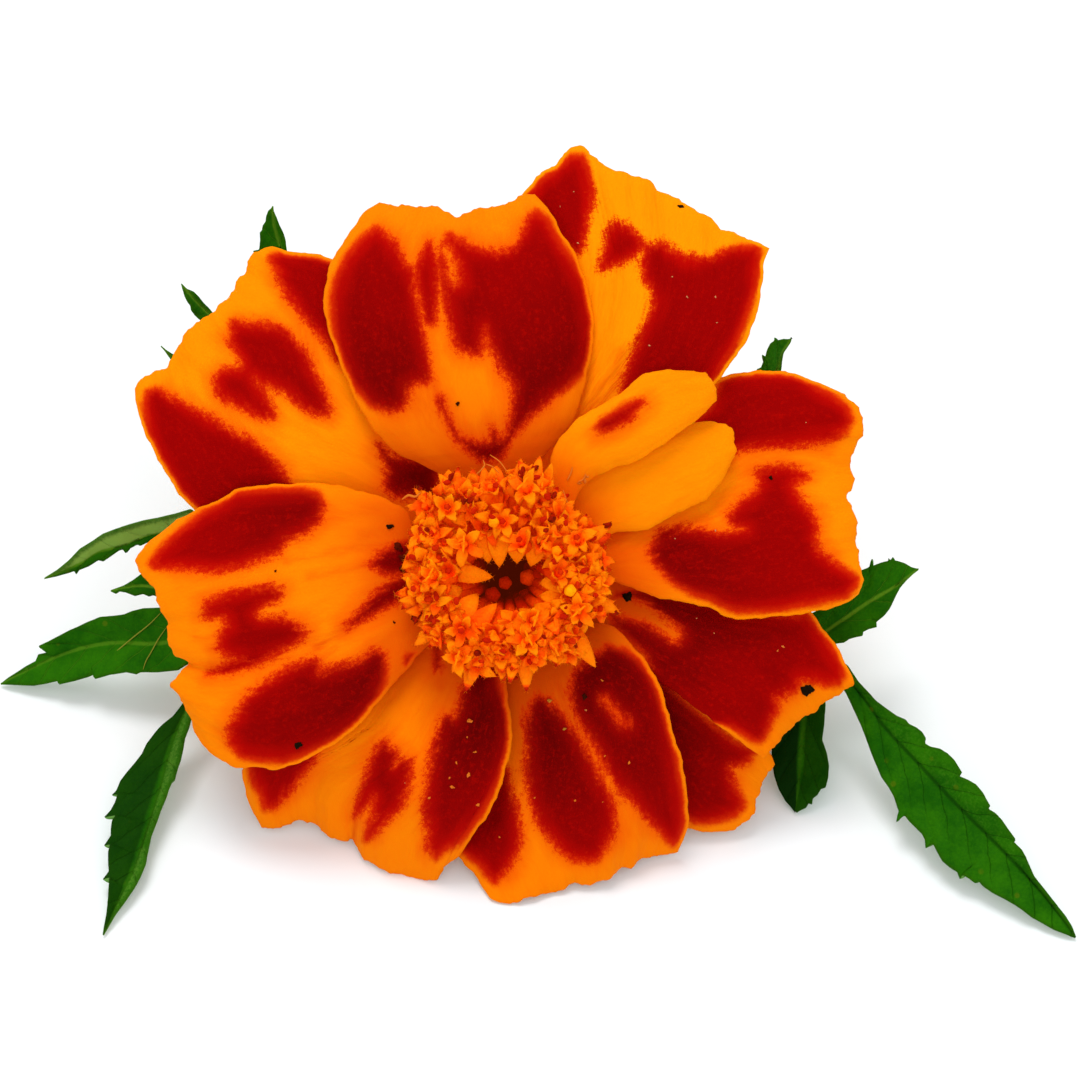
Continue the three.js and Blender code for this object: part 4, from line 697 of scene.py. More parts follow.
def blade(points, half):
    """A closed blade round a grid of points: its vertices, faces and which side each is on."""
    along = np.gradient(points, axis=0)
    across = np.gradient(points, axis=1)
    normal = unit(np.cross(across, along))
    rows, columns = points.shape[:2]
    front = points + normal * half[..., None]
    back = points - normal * half[..., None]
    count = rows * columns
    faces = grid_faces(rows, columns)
    index = np.arange(count).reshape(rows, columns)
    rim = np.concatenate([index[0, :-1], index[:-1, -1], index[-1, :0:-1], index[:0:-1, 0]])
    after = np.roll(rim, -1)
    sides = np.stack([after, rim, rim + count, after + count], -1)
    verts = np.vstack([front.reshape(-1, 3), back.reshape(-1, 3)])
    quads = np.vstack([faces, faces[:, ::-1] + count, sides])
    return verts, quads, np.concatenate([np.ones(count), np.zeros(count)])


def twice(values):
    """A grid's values for both faces of its blade."""
    flat = values.reshape(-1, *values.shape[2:])
    return np.concatenate([flat, flat])


def rounded(rim, reach, least):
    """How thick a blade is near its rim, as a share: round over reach, and least at the rim itself."""
    near = np.clip(rim / reach, 0, 1)
    return np.sqrt(np.clip(1 - (1 - near) ** 2, least, 1))


class Body:
    """Meshes gathered into one piece, with named values at their points."""

    def __init__(self):
        self.verts, self.faces, self.values, self.count = [], [], {}, 0

    def add(self, verts, faces, **values):
        self.verts.append(verts)
        self.faces.extend([int(k) + self.count for k in face] for face in faces)
        for name, value in values.items():
            shape = (len(verts), 3) if name == "place" else (len(verts),)
            self.values.setdefault(name, []).append(np.broadcast_to(value, shape))
        self.count += len(verts)

    def piece(self, name, material, slot, *nodes):
        """Makes the Blender object, rides it on the part and lets it stand for nodes."""
        mesh = bpy.data.meshes.new(name)
        mesh.from_pydata((np.vstack(self.verts) * MM).tolist(), [], self.faces)
        for key, parts in self.values.items():
            data = np.concatenate(parts)
            kind, field = ("FLOAT_VECTOR", "vector") if data.ndim == 2 else ("FLOAT", "value")
            layer = mesh.attributes.new(key, kind, "POINT")
            layer.data.foreach_set(field, data.astype(np.float32).ravel())
        mesh.polygons.foreach_set("use_smooth", np.ones(len(mesh.polygons), bool))
        mesh.materials.append(material)
        mesh.update()
        made = bpy.data.objects.new(name, mesh)
        bpy.context.scene.collection.objects.link(made)
        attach(made, "root")
        if nodes:
            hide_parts(*nodes)
        return made


def capped(rings, start, end):
    """A closed body from rings of points and one point at each end: its vertices and faces."""
    n, sides = rings.shape[:2]
    verts = np.vstack([rings.reshape(-1, 3), start, end])
    faces = grid_faces(n, sides, True).tolist()
    for k in range(sides):
        after = (k + 1) % sides
        faces.append([after, k, n * sides])
        faces.append([(n - 1) * sides + k, (n - 1) * sides + after, n * sides + 1])
    return verts, faces


def tube(centres, radii, sideways, sides, bumps=0.0, count=5):
    """A closed tube round a path, with count ribs of height bumps: its vertices and faces."""
    centres = np.asarray(centres, float)
    tangent = unit(np.gradient(centres, axis=0))
    right = unit(sideways - tangent * (tangent @ sideways)[:, None])
    up = np.cross(tangent, right)
    angle = 2 * math.pi * np.arange(sides) / sides
    radius = np.asarray(radii)[:, None] * (1 + bumps * np.cos(count * angle))
    ring = right[:, None] * np.cos(angle)[:, None] + up[:, None] * np.sin(angle)[:, None]
    points = centres[:, None] + radius[..., None] * ring
    return capped(points, centres[0], centres[-1])


def crumb(body, centre, size, tint, rng, rough=1.0):
    """A small lumpy grain lying on the face."""
    down = np.linspace(0, math.pi, CRUMB_RINGS + 2)[1:-1, None]
    way = np.linspace(0, 2 * math.pi, CRUMB_SIDES + 1)[None, :-1]
    radius = size / 2 * (0.92 + 0.24 * rough * rng.uniform(-1, 1, (CRUMB_RINGS, CRUMB_SIDES)))
    for wave in (2, 3, 4):
        radius = radius * (1 + 0.13 * rough * np.cos(wave * way + rng.uniform(0, 6.28)))
    turn = rng.uniform(0, math.pi)
    stretch = rng.uniform(1.0, 1.35)
    long = radius * np.sin(down) * np.cos(way) * stretch
    short = radius * np.sin(down) * np.sin(way) / stretch
    x = long * math.cos(turn) - short * math.sin(turn)
    y = long * math.sin(turn) + short * math.cos(turn)
    z = radius * np.cos(down) * 0.55
    rings = centre + x[..., None] * ACROSS + y[..., None] * FACE_UP + z[..., None] * FACE_OUT
    pole = FACE_OUT * size * 0.28
    verts, faces = capped(rings[::-1], centre - pole, centre + pole)
    body.add(verts, faces, tint=tint)


def straw(body, points, radius, tint):
    """A dry thread through points."""
    centres = at(spline(points), np.linspace(0, 1, 5 * len(points)))
    taper = radius * (1 - 0.6 * np.abs(np.linspace(-1, 1, len(centres))) ** 3)
    verts, faces = tube(centres, taper, FACE_OUT, 7)
    body.add(verts, faces, tint=tint)


def hairs(body, roots, ways, tint, rng):
    """Short pointed hairs that stand on roots along ways."""
    side = unit(np.cross(ways, FACE_OUT + 0.2 * ACROSS))
    other = np.cross(ways, side)
    angle = 2 * math.pi * np.arange(3)[None, :, None] / 3
    spokes = side[:, None] * np.cos(angle) + other[:, None] * np.sin(angle)
    ring = (roots - 0.04 * ways)[:, None] + HAIR_RADIUS * spokes
    tips = roots + ways * (HAIR_LENGTH * rng.uniform(0.6, 1.4, len(roots)))[:, None]
    verts = np.concatenate([ring, tips[:, None]], 1).reshape(-1, 3)
    faces = [[4 * n + k for k in face] for n in range(len(roots)) for face in HAIR_FACES]
    body.add(verts, faces, tint=tint)


def height_at(x, y, flat, z):
    """The height of a surface at the seen place x, y."""
    return z.ravel()[np.argmin(np.hypot(flat[..., 0] - x, flat[..., 1] - y))]


# Materials
def hue(red, green, blue):
    """A colour as a screen shows it, as light."""
    parts = [c / 255 for c in (red, green, blue)]
    return (*((c / 12.92 if c <= 0.04045 else ((c + 0.055) / 1.055) ** 2.4) for c in parts), 1)


class Field:
    """A value in a material. Arithmetic on it makes math nodes."""

    def __init__(self, tree, socket):
        self.tree, self.socket = tree, socket

    def do(self, operation, *others):
        node = self.tree.nodes.new("ShaderNodeMath")
        node.operation = operation
        for k, value in enumerate((self, *others)):
            if isinstance(value, Field):
                self.tree.links.new(value.socket, node.inputs[k])
            else:
                node.inputs[k].default_value = value
        return Field(self.tree, node.outputs[0])

    def __add__(self, other):
        return self.do("ADD", other)

    def __sub__(self, other):
        return self.do("SUBTRACT", other)

    def __mul__(self, other):
        return self.do("MULTIPLY", other)

    def step(self, low, high):
        """0 at low and 1 at high, with a smooth way between."""
        node = self.tree.nodes.new("ShaderNodeMapRange")
        node.interpolation_type = "SMOOTHSTEP"
        self.tree.links.new(self.socket, node.inputs[0])
        node.inputs[1].default_value = low
        node.inputs[2].default_value = high
        return Field(self.tree, node.outputs[0])


class Paint:
    """A material round one Principled shader, built with short calls."""

    def __init__(self, name, **settings):
        self.material = bpy.data.materials.new(name)
        self.material.use_nodes = True
        self.tree = self.material.node_tree
        self.shader = self.tree.nodes["Principled BSDF"]
        for key, value in settings.items():
            self.shader.inputs[key.replace("_", " ")].default_value = value

    def attribute(self, name):
        node = self.tree.nodes.new("ShaderNodeAttribute")
        node.attribute_name = name
        return node

    def value(self, name):
        return Field(self.tree, self.attribute(name).outputs["Fac"])

    def vector(self, name, scale):
        return self.scaled(self.attribute(name).outputs["Vector"], scale)

    def space(self, scale):
        """The place in the object, scale units to a millimetre."""
        node = self.tree.nodes.new("ShaderNodeTexCoord")
        return self.scaled(node.outputs["Object"], (scale / MM,) * 3)

    def scaled(self, socket, scale):
        node = self.tree.nodes.new("ShaderNodeVectorMath")
        node.operation = "MULTIPLY"
        self.tree.links.new(socket, node.inputs[0])
        node.inputs[1].default_value = scale
        return node.outputs[0]

    def part(self, vector, axis):
        node = self.tree.nodes.new("ShaderNodeSeparateXYZ")
        self.tree.links.new(vector, node.inputs[0])
        return Field(self.tree, node.outputs[axis])

    def noise(self, vector, detail=2.0, roughness=0.5):
        """Cloudy noise from about -0.5 to 0.5."""
        node = self.tree.nodes.new("ShaderNodeTexNoise")
        self.tree.links.new(vector, node.inputs["Vector"])
        for key, value in (("Scale", 1), ("Detail", detail), ("Roughness", roughness), ("Distortion", 0)):
            node.inputs[key].default_value = value
        return Field(self.tree, node.outputs[0]) - 0.5

    def dots(self, vector, size):
        """1 in round dots, one in each cell of a loose net."""
        node = self.tree.nodes.new("ShaderNodeTexVoronoi")
        self.tree.links.new(vector, node.inputs["Vector"])
        node.inputs["Scale"].default_value = 1
        return Field(self.tree, node.outputs["Distance"]).step(size, size * 0.5)

    def blend(self, share, a, b):
        """Colour a where share is 0, and b where it is 1."""
        node = self.tree.nodes.new("ShaderNodeMix")
        node.data_type = "RGBA"
        self.tree.links.new(share.socket, node.inputs[0])
        for socket, colour in ((node.inputs[6], a), (node.inputs[7], b)):
            if isinstance(colour, tuple):
                socket.default_value = colour
            else:
                self.tree.links.new(colour, socket)
        return node.outputs[2]

    def finish(self, colour, roughness=None, relief=None, depth=0.1):
        """Ends the material with its colour, roughness and a relief of depth millimetres."""
        self.tree.links.new(colour, self.shader.inputs["Base Color"])
        if roughness is not None:
            self.tree.links.new(roughness.socket, self.shader.inputs["Roughness"])
        if relief is not None:
            bump = self.tree.nodes.new("ShaderNodeBump")
            bump.inputs["Strength"].default_value = 1
            bump.inputs["Distance"].default_value = depth * MM
            self.tree.links.new(relief.socket, bump.inputs["Height"])
            self.tree.links.new(bump.outputs[0], self.shader.inputs["Normal"])
        return self.material


def petal_paint():
    """Velvet red marks with soft streaked edges on orange, with painted shade towards the foot, paler and
    dull behind.
    """
    p = Paint("petal", Specular_IOR_Level=0.02, Subsurface_Weight=0.1, Subsurface_Scale=0.4 * MM,
              Subsurface_Radius=(1.0, 0.3, 0.05))
    wide = p.noise(p.vector("place", (0.35, 0.12, 3.0)), 2)
    streak = p.noise(p.vector("place", (1.3, 0.3, 5.0)), 3, 0.6)
    thread = p.noise(p.vector("place", (4.5, 0.55, 7.0)), 2, 0.6)
    grain = p.noise(p.space(3.0), 3, 0.65)
    fine = p.noise(p.space(11.0), 2, 0.6)
    mark, rim, reach, side, dusk = (p.value(name) for name in ("mark", "rim", "reach", "side", "dusk"))

    # The mark's frayed edge, which keeps off the rim
    spray = rim.step(0.2, 2.6) * 0.8 + 0.2
    edge = mark + (streak * 0.8 + thread * 0.55 + grain * 1.1 + fine * 0.9) * spray
    edge = edge.do("MINIMUM", (rim - 0.45) * 2.0 + grain * 0.4)

    # Orange ground, reddish round the marks and in streaks, duller on the more shaded petals and darker
    # towards the foot: painted shade, deepest where the disc shades the foot
    sun = p.blend(dusk.step(-0.3, 0.5), hue(255, 145, 0), hue(245, 124, 0))
    halo = (mark + streak * 1.2 + wide * 1.5).step(-1.8, -0.1) * rim.step(0.4, 1.8) * dusk.step(-0.3, 0.1)
    warm = p.blend(halo * 0.8, sun, hue(236, 88, 0))
    brush = (wide * 0.9 + streak * 0.8 + thread * 0.6 + 0.5).step(0.35, 0.95)
    streaked = p.blend(brush * 0.3, warm, hue(238, 96, 0))
    # Painted shadow of the disc over the petal's foot, deeper on the more shaded petals
    low = p.blend(dusk * (reach + streak * 0.3).step(0.75, 0.2), hue(228, 84, 0), hue(186, 60, 0))
    # Reddish smears, the strongest at some feet being painted shade from the disc's lobes
    smear = p.value("blush") * (streak * 1.2 + thread * 0.8 + 0.5).step(-0.1, 0.9)
    smeared = p.blend(smear, streaked, hue(214, 58, 0))
    orange = p.blend((reach + wide * 0.3 - dusk * 0.22).step(0.42, 0.0), smeared, low)
    flame = p.blend(edge.step(-0.6, 0.0), orange, hue(214, 44, 0))

    # Red velvet, darker in the marks' hearts, and darker towards the foot and on the more shaded petals,
    # partly the red's own depth and partly painted shade
    ripening = (reach + wide * 0.5 + streak * 0.25 - dusk * 0.25).step(0.0, 0.85)
    bright = p.blend(ripening, hue(124, 2, 0), hue(180, 4, 0))
    deep = p.blend(ripening, hue(92, 0, 0), hue(146, 0, 0))
    heart = (mark + wide * 2.0 + streak * 0.9 + grain * 0.8).step(-0.1, 1.3)
    pile = (grain * 1.4 + thread * 0.6 + fine * 0.8 + 0.5).step(0.4, 1.0)
    velvet = p.blend(pile * 0.35, p.blend(heart, bright, deep), hue(196, 10, 0))
    front = p.blend(edge.step(-0.45, 0.45), flame, velvet)

    # The back, with the marks showing through and veins
    dull = p.blend((mark + streak * 1.2).step(-0.6, 0.9) * 0.55, hue(240, 142, 10), hue(176, 60, 10))
    veined = p.blend((thread * 1.5 + streak + 0.5).step(0.55, 0.9) * 0.35, dull, hue(205, 100, 6))
    colour = p.blend(side, veined, front)
    relief = (thread * 0.5 + streak * 0.5) * reach.step(0.1, 0.5) + grain * 0.3 + fine * 0.25
    return p.finish(colour, grain * 0.2 + 0.75, relief, 0.06)


def disc_paint():
    """Fleshy orange lobes from dark throats to bright tips, the dark partly painted shade; tint runs from -1
    to 1.
    """
    # A faint orange emission is painted glow that stands in for light passing through the thin lobes
    p = Paint("disc", Specular_IOR_Level=0.03, Emission_Color=hue(255, 70, 0), Emission_Strength=0.05)
    tint = p.value("tint") + p.noise(p.space(1.3), 3, 0.6) * 0.5 + p.noise(p.space(6.0), 2) * 0.25
    dark = p.blend(tint.step(-1.0, -0.6), hue(34, 4, 0), hue(186, 22, 0))
    middle = p.blend(tint.step(-0.6, -0.1), dark, hue(250, 76, 0))
    light = p.blend(tint.step(-0.1, 0.6), middle, hue(255, 132, 0))
    colour = p.blend(tint.step(0.6, 1.0), light, hue(255, 172, 0))
    relief = p.noise(p.space(2.4), 2, 0.6) + p.noise(p.space(8.0), 3, 0.6) * 0.4
    return p.finish(colour, p.noise(p.space(3.0)) * 0.3 + 0.6, relief, 0.15)


def bits_paint():
    """Dark crumbs, pale pollen grains and straw; tint runs from -1 to 1."""
    p = Paint("bits", Specular_IOR_Level=0.03, Roughness=0.8)
    tint = p.value("tint") + p.noise(p.space(5.0), 2) * 0.4
    dark = p.blend(tint.step(-1.0, -0.6), hue(22, 14, 4), hue(84, 16, 0))
    olive = p.blend(tint.step(-0.4, -0.1), dark, hue(128, 132, 40))
    dry = p.blend(tint.step(0.1, 0.45), olive, hue(218, 112, 30))
    colour = p.blend(tint.step(0.6, 1.0), dry, hue(206, 140, 90))
    return p.finish(colour)


def leaf_paint():
    """Deep green with fine veins, darker teeth and small oil glands, paler below, with painted shade on
    dark-toned leaflets.
    """
    p = Paint("leaf", Specular_IOR_Level=0.03, Subsurface_Weight=0.06, Subsurface_Scale=0.4 * MM,
              Subsurface_Radius=(0.4, 1.0, 0.1))
    place = p.vector("place", (1.0, 1.0, 1.0))
    across = p.part(place, 0).do("ABSOLUTE")
    along = p.part(place, 1)
    cloud = p.noise(p.space(0.35), 3, 0.6)
    cells = p.noise(p.space(5.0), 3, 0.65)
    tone, vein, rim, side = (p.value(name) for name in ("tone", "vein", "rim", "side"))

    # Veins: the midrib, slanting side veins and a fine net
    bent = along - across * VEIN_SLANT + p.noise(p.space(0.5), 2) * 1.2
    lateral = bent.do("PINGPONG", VEIN_SPACING / 2).step(0.1, 0.02) * across.step(3.2, 1.0)
    middle = across.step(0.26, 0.06)
    net = p.dots(p.space(1.1), 0.55)

    # The dark upper side
    green = p.blend((cloud * 1.6 + cells * 0.7 + 0.5).step(0.1, 0.9), hue(18, 78, 0), hue(40, 104, 0))
    patch = p.blend(net * 0.25, green, hue(34, 98, 0))
    groove = p.blend((lateral * 0.3 + middle * 0.7) * vein.step(0.3, -0.3), patch, hue(10, 52, 0))
    veins = p.blend((lateral * 0.25 + middle * 0.6) * vein.step(-0.2, 0.8), groove, hue(104, 150, 30))
    gland = p.dots(p.space(0.55), 0.16) * rim.step(1.6, 0.5)
    spots = p.blend(gland * 0.35, veins, hue(100, 108, 10))
    edge = p.blend(rim.step(0.3, 0.02) * 0.5, spots, hue(40, 78, 0))
    # Darker where the tone is below zero: painted shade, deepest on the leaflet under the petals
    darker = p.blend(tone.step(0.0, -1.0), edge, hue(6, 38, 0))

    # The pale freckled half that some leaflets turn to the light
    freckles = p.dots(p.space(0.7), 0.3) * rim.step(3.0, 0.3)
    pale = p.blend(freckles * 0.7, hue(124, 160, 64), hue(54, 96, 22))
    shaded = p.blend((rim + cells * 0.4).step(0.5, 0.1) * 0.8, pale, hue(30, 78, 4))
    upper = p.blend((tone + cells * 0.5).step(0.05, 1.0), darker, shaded)

    below = p.blend(lateral.do("MAXIMUM", middle) * 0.5, hue(92, 138, 62), hue(150, 180, 104))
    relief = cells * 0.4 - lateral * 0.5 - net * 0.3
    return p.finish(p.blend(side, below, upper), cells * 0.2 + 0.65, relief, 0.1)


def stem_paint(name, light, deep, gland):
    """Green bark with fine lengthwise ribs and long brown oil glands."""
    p = Paint(name, Specular_IOR_Level=0.4, Subsurface_Weight=0.1, Subsurface_Scale=0.5 * MM,
              Subsurface_Radius=(0.4, 1.0, 0.1))
    cloud = p.noise(p.space(0.4), 3, 0.6)
    fibre = p.noise(p.vector("place", (3.0, 0.25, 1.0)), 3, 0.6)
    base = p.blend((cloud + fibre * 1.2 + 0.5).step(0.15, 0.85), deep, light)
    spots = p.blend(p.dots(p.vector("place", (0.9, 0.35, 1.0)), 0.22) * gland, base, hue(96, 62, 14))
    colour = p.blend(p.value("tint").step(0.0, 1.0), spots, hue(206, 222, 160))
    return p.finish(colour, fibre * 0.2 + 0.5, fibre + cloud * 0.3, 0.15)


# Petals
def blush(x, y, petal):
    """How strongly the soft reddish smears of the petal, some of them painted shade, colour a place."""
    total = np.zeros(np.shape(x))
    for strength, width, points in petal.get("blush", []):
        total = np.maximum(total, strength * np.exp(-((line_distance(x, y, points) / width) ** 2)))
    return total


def mark_depth(x, y, petal):
    """How far inside the petal's red marks a place is, in millimetres, below zero outside."""
    depth = np.full(np.shape(x), NO_MARK)
    for points in petal.get("red", []):
        outline = from_crop(petal["crop"], points)
        away = line_distance(x, y, outline, True)
        depth = np.maximum(depth, np.where(inside(x, y, outline), away, -away))
    for width, points in petal.get("wine", []):
        depth = np.maximum(depth, width / 2 - line_distance(x, y, points))
    for width, points in petal.get("gold", []):
        line = from_crop(petal["crop"], points)
        depth = np.minimum(depth, line_distance(x, y, line) - width / 2)
    return depth


def bareness(x, y, petal):
    """How much farther from the rim a place counts where the red reaches it."""
    total = np.zeros(np.shape(x))
    for place_x, place_y, size in petal.get("bare", []):
        total = total + 2.5 * np.exp(-(((x - place_x) / size) ** 2 + ((y - place_y) / size) ** 2))
    return total


def through_four(values, t):
    """A cubic through four evenly spaced values."""
    a, b, c, d = values
    s = 3 * t
    return (-a * (s - 1) * (s - 2) * (s - 3) / 6 + b * s * (s - 2) * (s - 3) / 2
            - c * s * (s - 1) * (s - 3) / 2 + d * s * (s - 1) * (s - 2) / 6)


def petal_height(petal, u, v):
    """The height of the petal's form at shares u across it and v along it."""
    ccw, middle, cw = (through_four(row, v) for row in petal["heights"])
    z = ccw * (1 - u) * (1 - 2 * u) + 4 * middle * u * (1 - u) + cw * u * (2 * u - 1)
    for start, end, height, width in petal["pleats"]:
        z = z + height * v * np.exp(-(((u - mix(start, end, v)) / width) ** 2))
    return z


def petal_sheet(petal, seed, u, v):
    """The seen places of a petal's grid, how far each is from its margin, and its width and length."""
    angle, half = petal["claw"]
    ccw = frayed(spline([polar(BASE_RADIUS, angle + half), *petal["ccw"]]), seed, 0.07, 2.6)
    cw = frayed(spline([polar(BASE_RADIUS, angle - half), *petal["cw"]]), seed + 1, 0.07, 2.6)
    end = frayed(spline([petal["ccw"][-1], *petal["tip"], petal["cw"][-1]]), seed + 2, 0.1, 1.9)
    foot = np.stack(polar(BASE_RADIUS, mix(angle + half, angle - half, u)), -1)
    tip = at(end, u)
    near_ccw, near_cw, far_ccw, far_cw = (at(line, share) for share in (0.0, 1.0) for line in (ccw, cw))
    across, along = u[..., None], v[..., None]
    corners = mix(mix(near_ccw, near_cw, across), mix(far_ccw, far_cw, across), along)
    flat = mix(at(ccw, v), at(cw, v), across) + mix(foot, tip, along) - corners
    margin = np.vstack([ccw[0][::6], end[0][::6], cw[0][::-6]])
    width = np.linalg.norm(np.diff(tip, axis=1), axis=-1).sum() * 0.9
    return flat, line_distance(flat[..., 0], flat[..., 1], margin), width, (ccw[1][-1] + cw[1][-1]) / 2


def petal_relief(petal, seed, u, v, rim, width):
    """The height of the petal's blade: its form with ribs, ripples and a margin that turns down."""
    ribs = wobble(u * width, seed + 3, 2.4) * 0.045 * np.clip(v * 3 - 0.6, 0, 1)
    ripple = wobble(u * width + 1.5 * np.sin(v * 5 + seed), seed + 4, 6.5) * 0.13 * v**2
    lip = -0.18 * np.exp(-((rim / 0.5) ** 2)) * np.clip(v * 6, 0, 1)
    curl = petal.get("curl", 0) * np.exp(-((rim / 0.6) ** 2))
    curl = curl * np.clip((u - 0.7) * 5, 0, 1) * np.clip((v - 0.35) * 4, 0, 1)
    return petal_height(petal, u, v) + ribs + ripple + lip + curl


def petal_bits(bits, petal, seed, flat, z):
    """The grains and dry threads that lie on a petal."""
    rng = np.random.default_rng(seed)
    for x, y, size, tint in petal.get("specks", []):
        size = size * (1 if tint < 0 else 0.7 if tint < 0.75 else 0.5)
        top = height_at(x, y, flat, z) + PETAL_HALF
        crumb(bits, seen(x, y, top + size * 0.15), size, tint, rng)
    for radius, line in petal.get("threads", []):
        straw(bits, [seen(x, y, height_at(x, y, flat, z) + 0.25) for x, y in line], radius, 0.5)


def petal_claw(petal, u):
    """The narrow foot that stands in the cup: its points, its seen places and how far out they are."""
    angle, half = petal["claw"]
    base = petal["heights"][0][0]
    path = spline([(4.9, -9.4), (4.9, -7.6), (4.9, base - 1.7), (5.05, base - 0.8), (5.45, base - 0.25),
                   (BASE_RADIUS, base)])
    rows = at(path, np.linspace(0, 1, CLAW_ROWS + 1)[:-1])
    x, y = polar(rows[:, :1], mix(angle + half, angle - half, u))
    return on_table(x, y, rows[:, 1:]), np.stack([x, y], -1), rows[:, :1]


def petal(name, material, slot, seed, grid, bits):
    """One petal with its claw, as a thin blade with the values that its paint reads."""
    data = PETALS[name]
    columns, rows = grid
    b = np.linspace(0, 1, columns)
    u = (b - 0.5 * np.sin(2 * math.pi * b) / (2 * math.pi))[None, :]
    v = 1 - (1 - np.linspace(0, 1, rows)[:, None]) ** 1.12
    flat, rim, width, length = petal_sheet(data, seed, u, v)
    across, along = np.broadcast_arrays(u, v)
    z = petal_relief(data, seed, across, along, rim, width)
    petal_bits(bits, data, seed, flat, z)

    claw, claw_flat, claw_radius = petal_claw(data, u)
    none = np.zeros((CLAW_ROWS, columns))
    claw_rim = np.minimum(u, 1 - u) * np.radians(2 * data["claw"][1]) * claw_radius
    bare = np.concatenate([none, bareness(flat[..., 0], flat[..., 1], data)])
    points = np.concatenate([claw, seen(flat[..., 0], flat[..., 1], z)])
    flat = np.concatenate([claw_flat, flat])
    rim = np.concatenate([claw_rim, rim])
    sideways = np.concatenate([none + across[:1], across]) * width
    lengthways = np.concatenate([none + np.linspace(-4, -0.2, CLAW_ROWS)[:, None], along * length])
    place = np.stack([sideways, lengthways, np.full_like(sideways, seed * 1.37)], -1)
    verts, faces, side = blade(points, PETAL_HALF * rounded(rim, 0.3, 0.03))
    x, y = flat[..., 0], flat[..., 1]
    body = Body()
    body.add(verts, faces, side=side, mark=twice(mark_depth(x, y, data)), rim=twice(rim + bare),
             reach=twice(np.concatenate([none, along])), place=twice(place), dusk=data.get("dusk", 0.0),
             blush=twice(blush(x, y, data)))
    return body.piece(name.replace("petal", "ray"), material, slot, name)


# Disc
def random_row(seed):
    """The frame's own repeatable row of random numbers."""
    state = seed
    while True:
        state = (state * 1664525 + 1013904223) % 4294967296
        yield state / 4294967296


def crown(mouth, frame_axes, turn, size, lift, rng, shade, pit):
    """A floret's five uneven fleshy lobes: rows of points and tints, and how far off a lobe's middle."""
    axis, side, other = frame_axes
    count = 5 * LOBE_POINTS
    half = LOBE_POINTS // 2
    k = np.arange(count)
    lobe_of = ((k + half) // LOBE_POINTS) % 5
    off = np.abs((k - lobe_of * LOBE_POINTS + half) % count - half) / (LOBE_POINTS / 2)
    ways = turn + 2 * math.pi * np.arange(5) / 5
    to_pit = side[0] * np.cos(ways) * pit[0] + (other @ FACE_UP) * np.sin(ways) * pit[1]
    lobes = (rng.uniform(0.7, 1.15, 5) * (1 - 0.3 * np.clip(to_pit, 0, 1)))[lobe_of] * size
    curls = rng.uniform(-0.4, 1.0, 5)[lobe_of] + lift
    twist = rng.uniform(-0.4, 0.4, 5)[lobe_of]
    glow = rng.uniform(-0.2, 0.2, 5)[lobe_of] + shade
    reach = NOTCH + (lobes - NOTCH) * np.clip(1 - off, 0, 1) ** 0.9
    reach = reach * rng.uniform(0.92, 1.08, count)
    angle = turn + 2 * math.pi * k / count
    rows, tints = [], []
    for s in np.linspace(0.0, 1.0, 7)[1:]:
        r = s * reach
        q = np.clip((r - NOTCH * 0.7) / (lobes - NOTCH * 0.7), 0, 1)
        throat = 1 - np.clip(r / NOTCH, 0, 1)
        height = -0.35 * throat + 0.25 * np.sin(math.pi * q) + curls * q**2
        height = height + 0.25 * off**2 * np.clip(q * 2, 0, 1) + rng.uniform(-0.04, 0.04, count)
        a = angle + twist * q
        rows.append(mouth + side * (r * np.cos(a))[:, None] + other * (r * np.sin(a))[:, None]
                    + axis * height[:, None])
        # Tints darken down the throat and towards the sides of a lobe, painted shade, and brighten towards
        # the tips
        tints.append(glow - 0.5 * throat + 0.25 * q - 0.1 * off)
    return np.array(rows), np.array(tints), angle, off


def floret(body, foot, knee, mouth, axis, turn, size, lift, rng, shade, pit, inner):
    """A tube that widens into five lobes with short hairs round its anthers."""
    axis = unit(axis + ACROSS * rng.normal(0, 0.22) + FACE_UP * rng.normal(0, 0.22))
    side = unit(ACROSS - axis * axis[0])
    other = np.cross(axis, side)
    top, tint, angle, off = crown(mouth, (axis, side, other), turn, size, lift, rng, shade, pit)
    low = (top - axis * 0.26)[:1:-1]
    wide = 0.32 * (1 - inner)
    throat = mouth - axis * 0.75
    path = [throat, mix(throat, knee, 0.5), knee, mix(knee, foot, 0.5), foot]
    ring = side * np.cos(angle)[:, None] + other * np.sin(angle)[:, None]
    pipe = [centre + radius * ring
            for centre, radius in zip(path, (0.46 + wide, 0.42 + 0.7 * wide, 0.4 + 0.2 * wide, 0.4, 0.4))]
    # The tube darkens towards its foot, more for the inner florets, and the lobes' undersides are a little
    # darker: painted shade
    pipe_shade = np.array([0.1 - inner * 0.4, -0.1 - inner * 0.5, -0.4 - inner * 0.4, -0.8, -1.0])
    rings = np.concatenate([top, low, pipe])
    tints = np.concatenate([tint, tint[:1:-1] - 0.2, np.repeat(pipe_shade[:, None], len(angle), 1)])
    verts, faces = capped(rings[:, ::-1], mouth - axis * 0.35, foot)
    body.add(verts, faces, tint=np.concatenate([tints[:, ::-1].ravel(), [shade - 0.6, -1.0]]))
    edge = top[-1][off < 0.95]
    outward = unit(edge - mouth + axis * rng.uniform(-0.4, 1.2, len(edge))[:, None]
                   + rng.normal(0, 0.5, (len(edge), 3)))
    hairs(body, edge - axis * 0.12, outward, 0.2 + shade * 0.6, rng)
    anthers(body, mouth - axis * 0.3, axis, rng.uniform(0.6, 1.25), shade, rng)


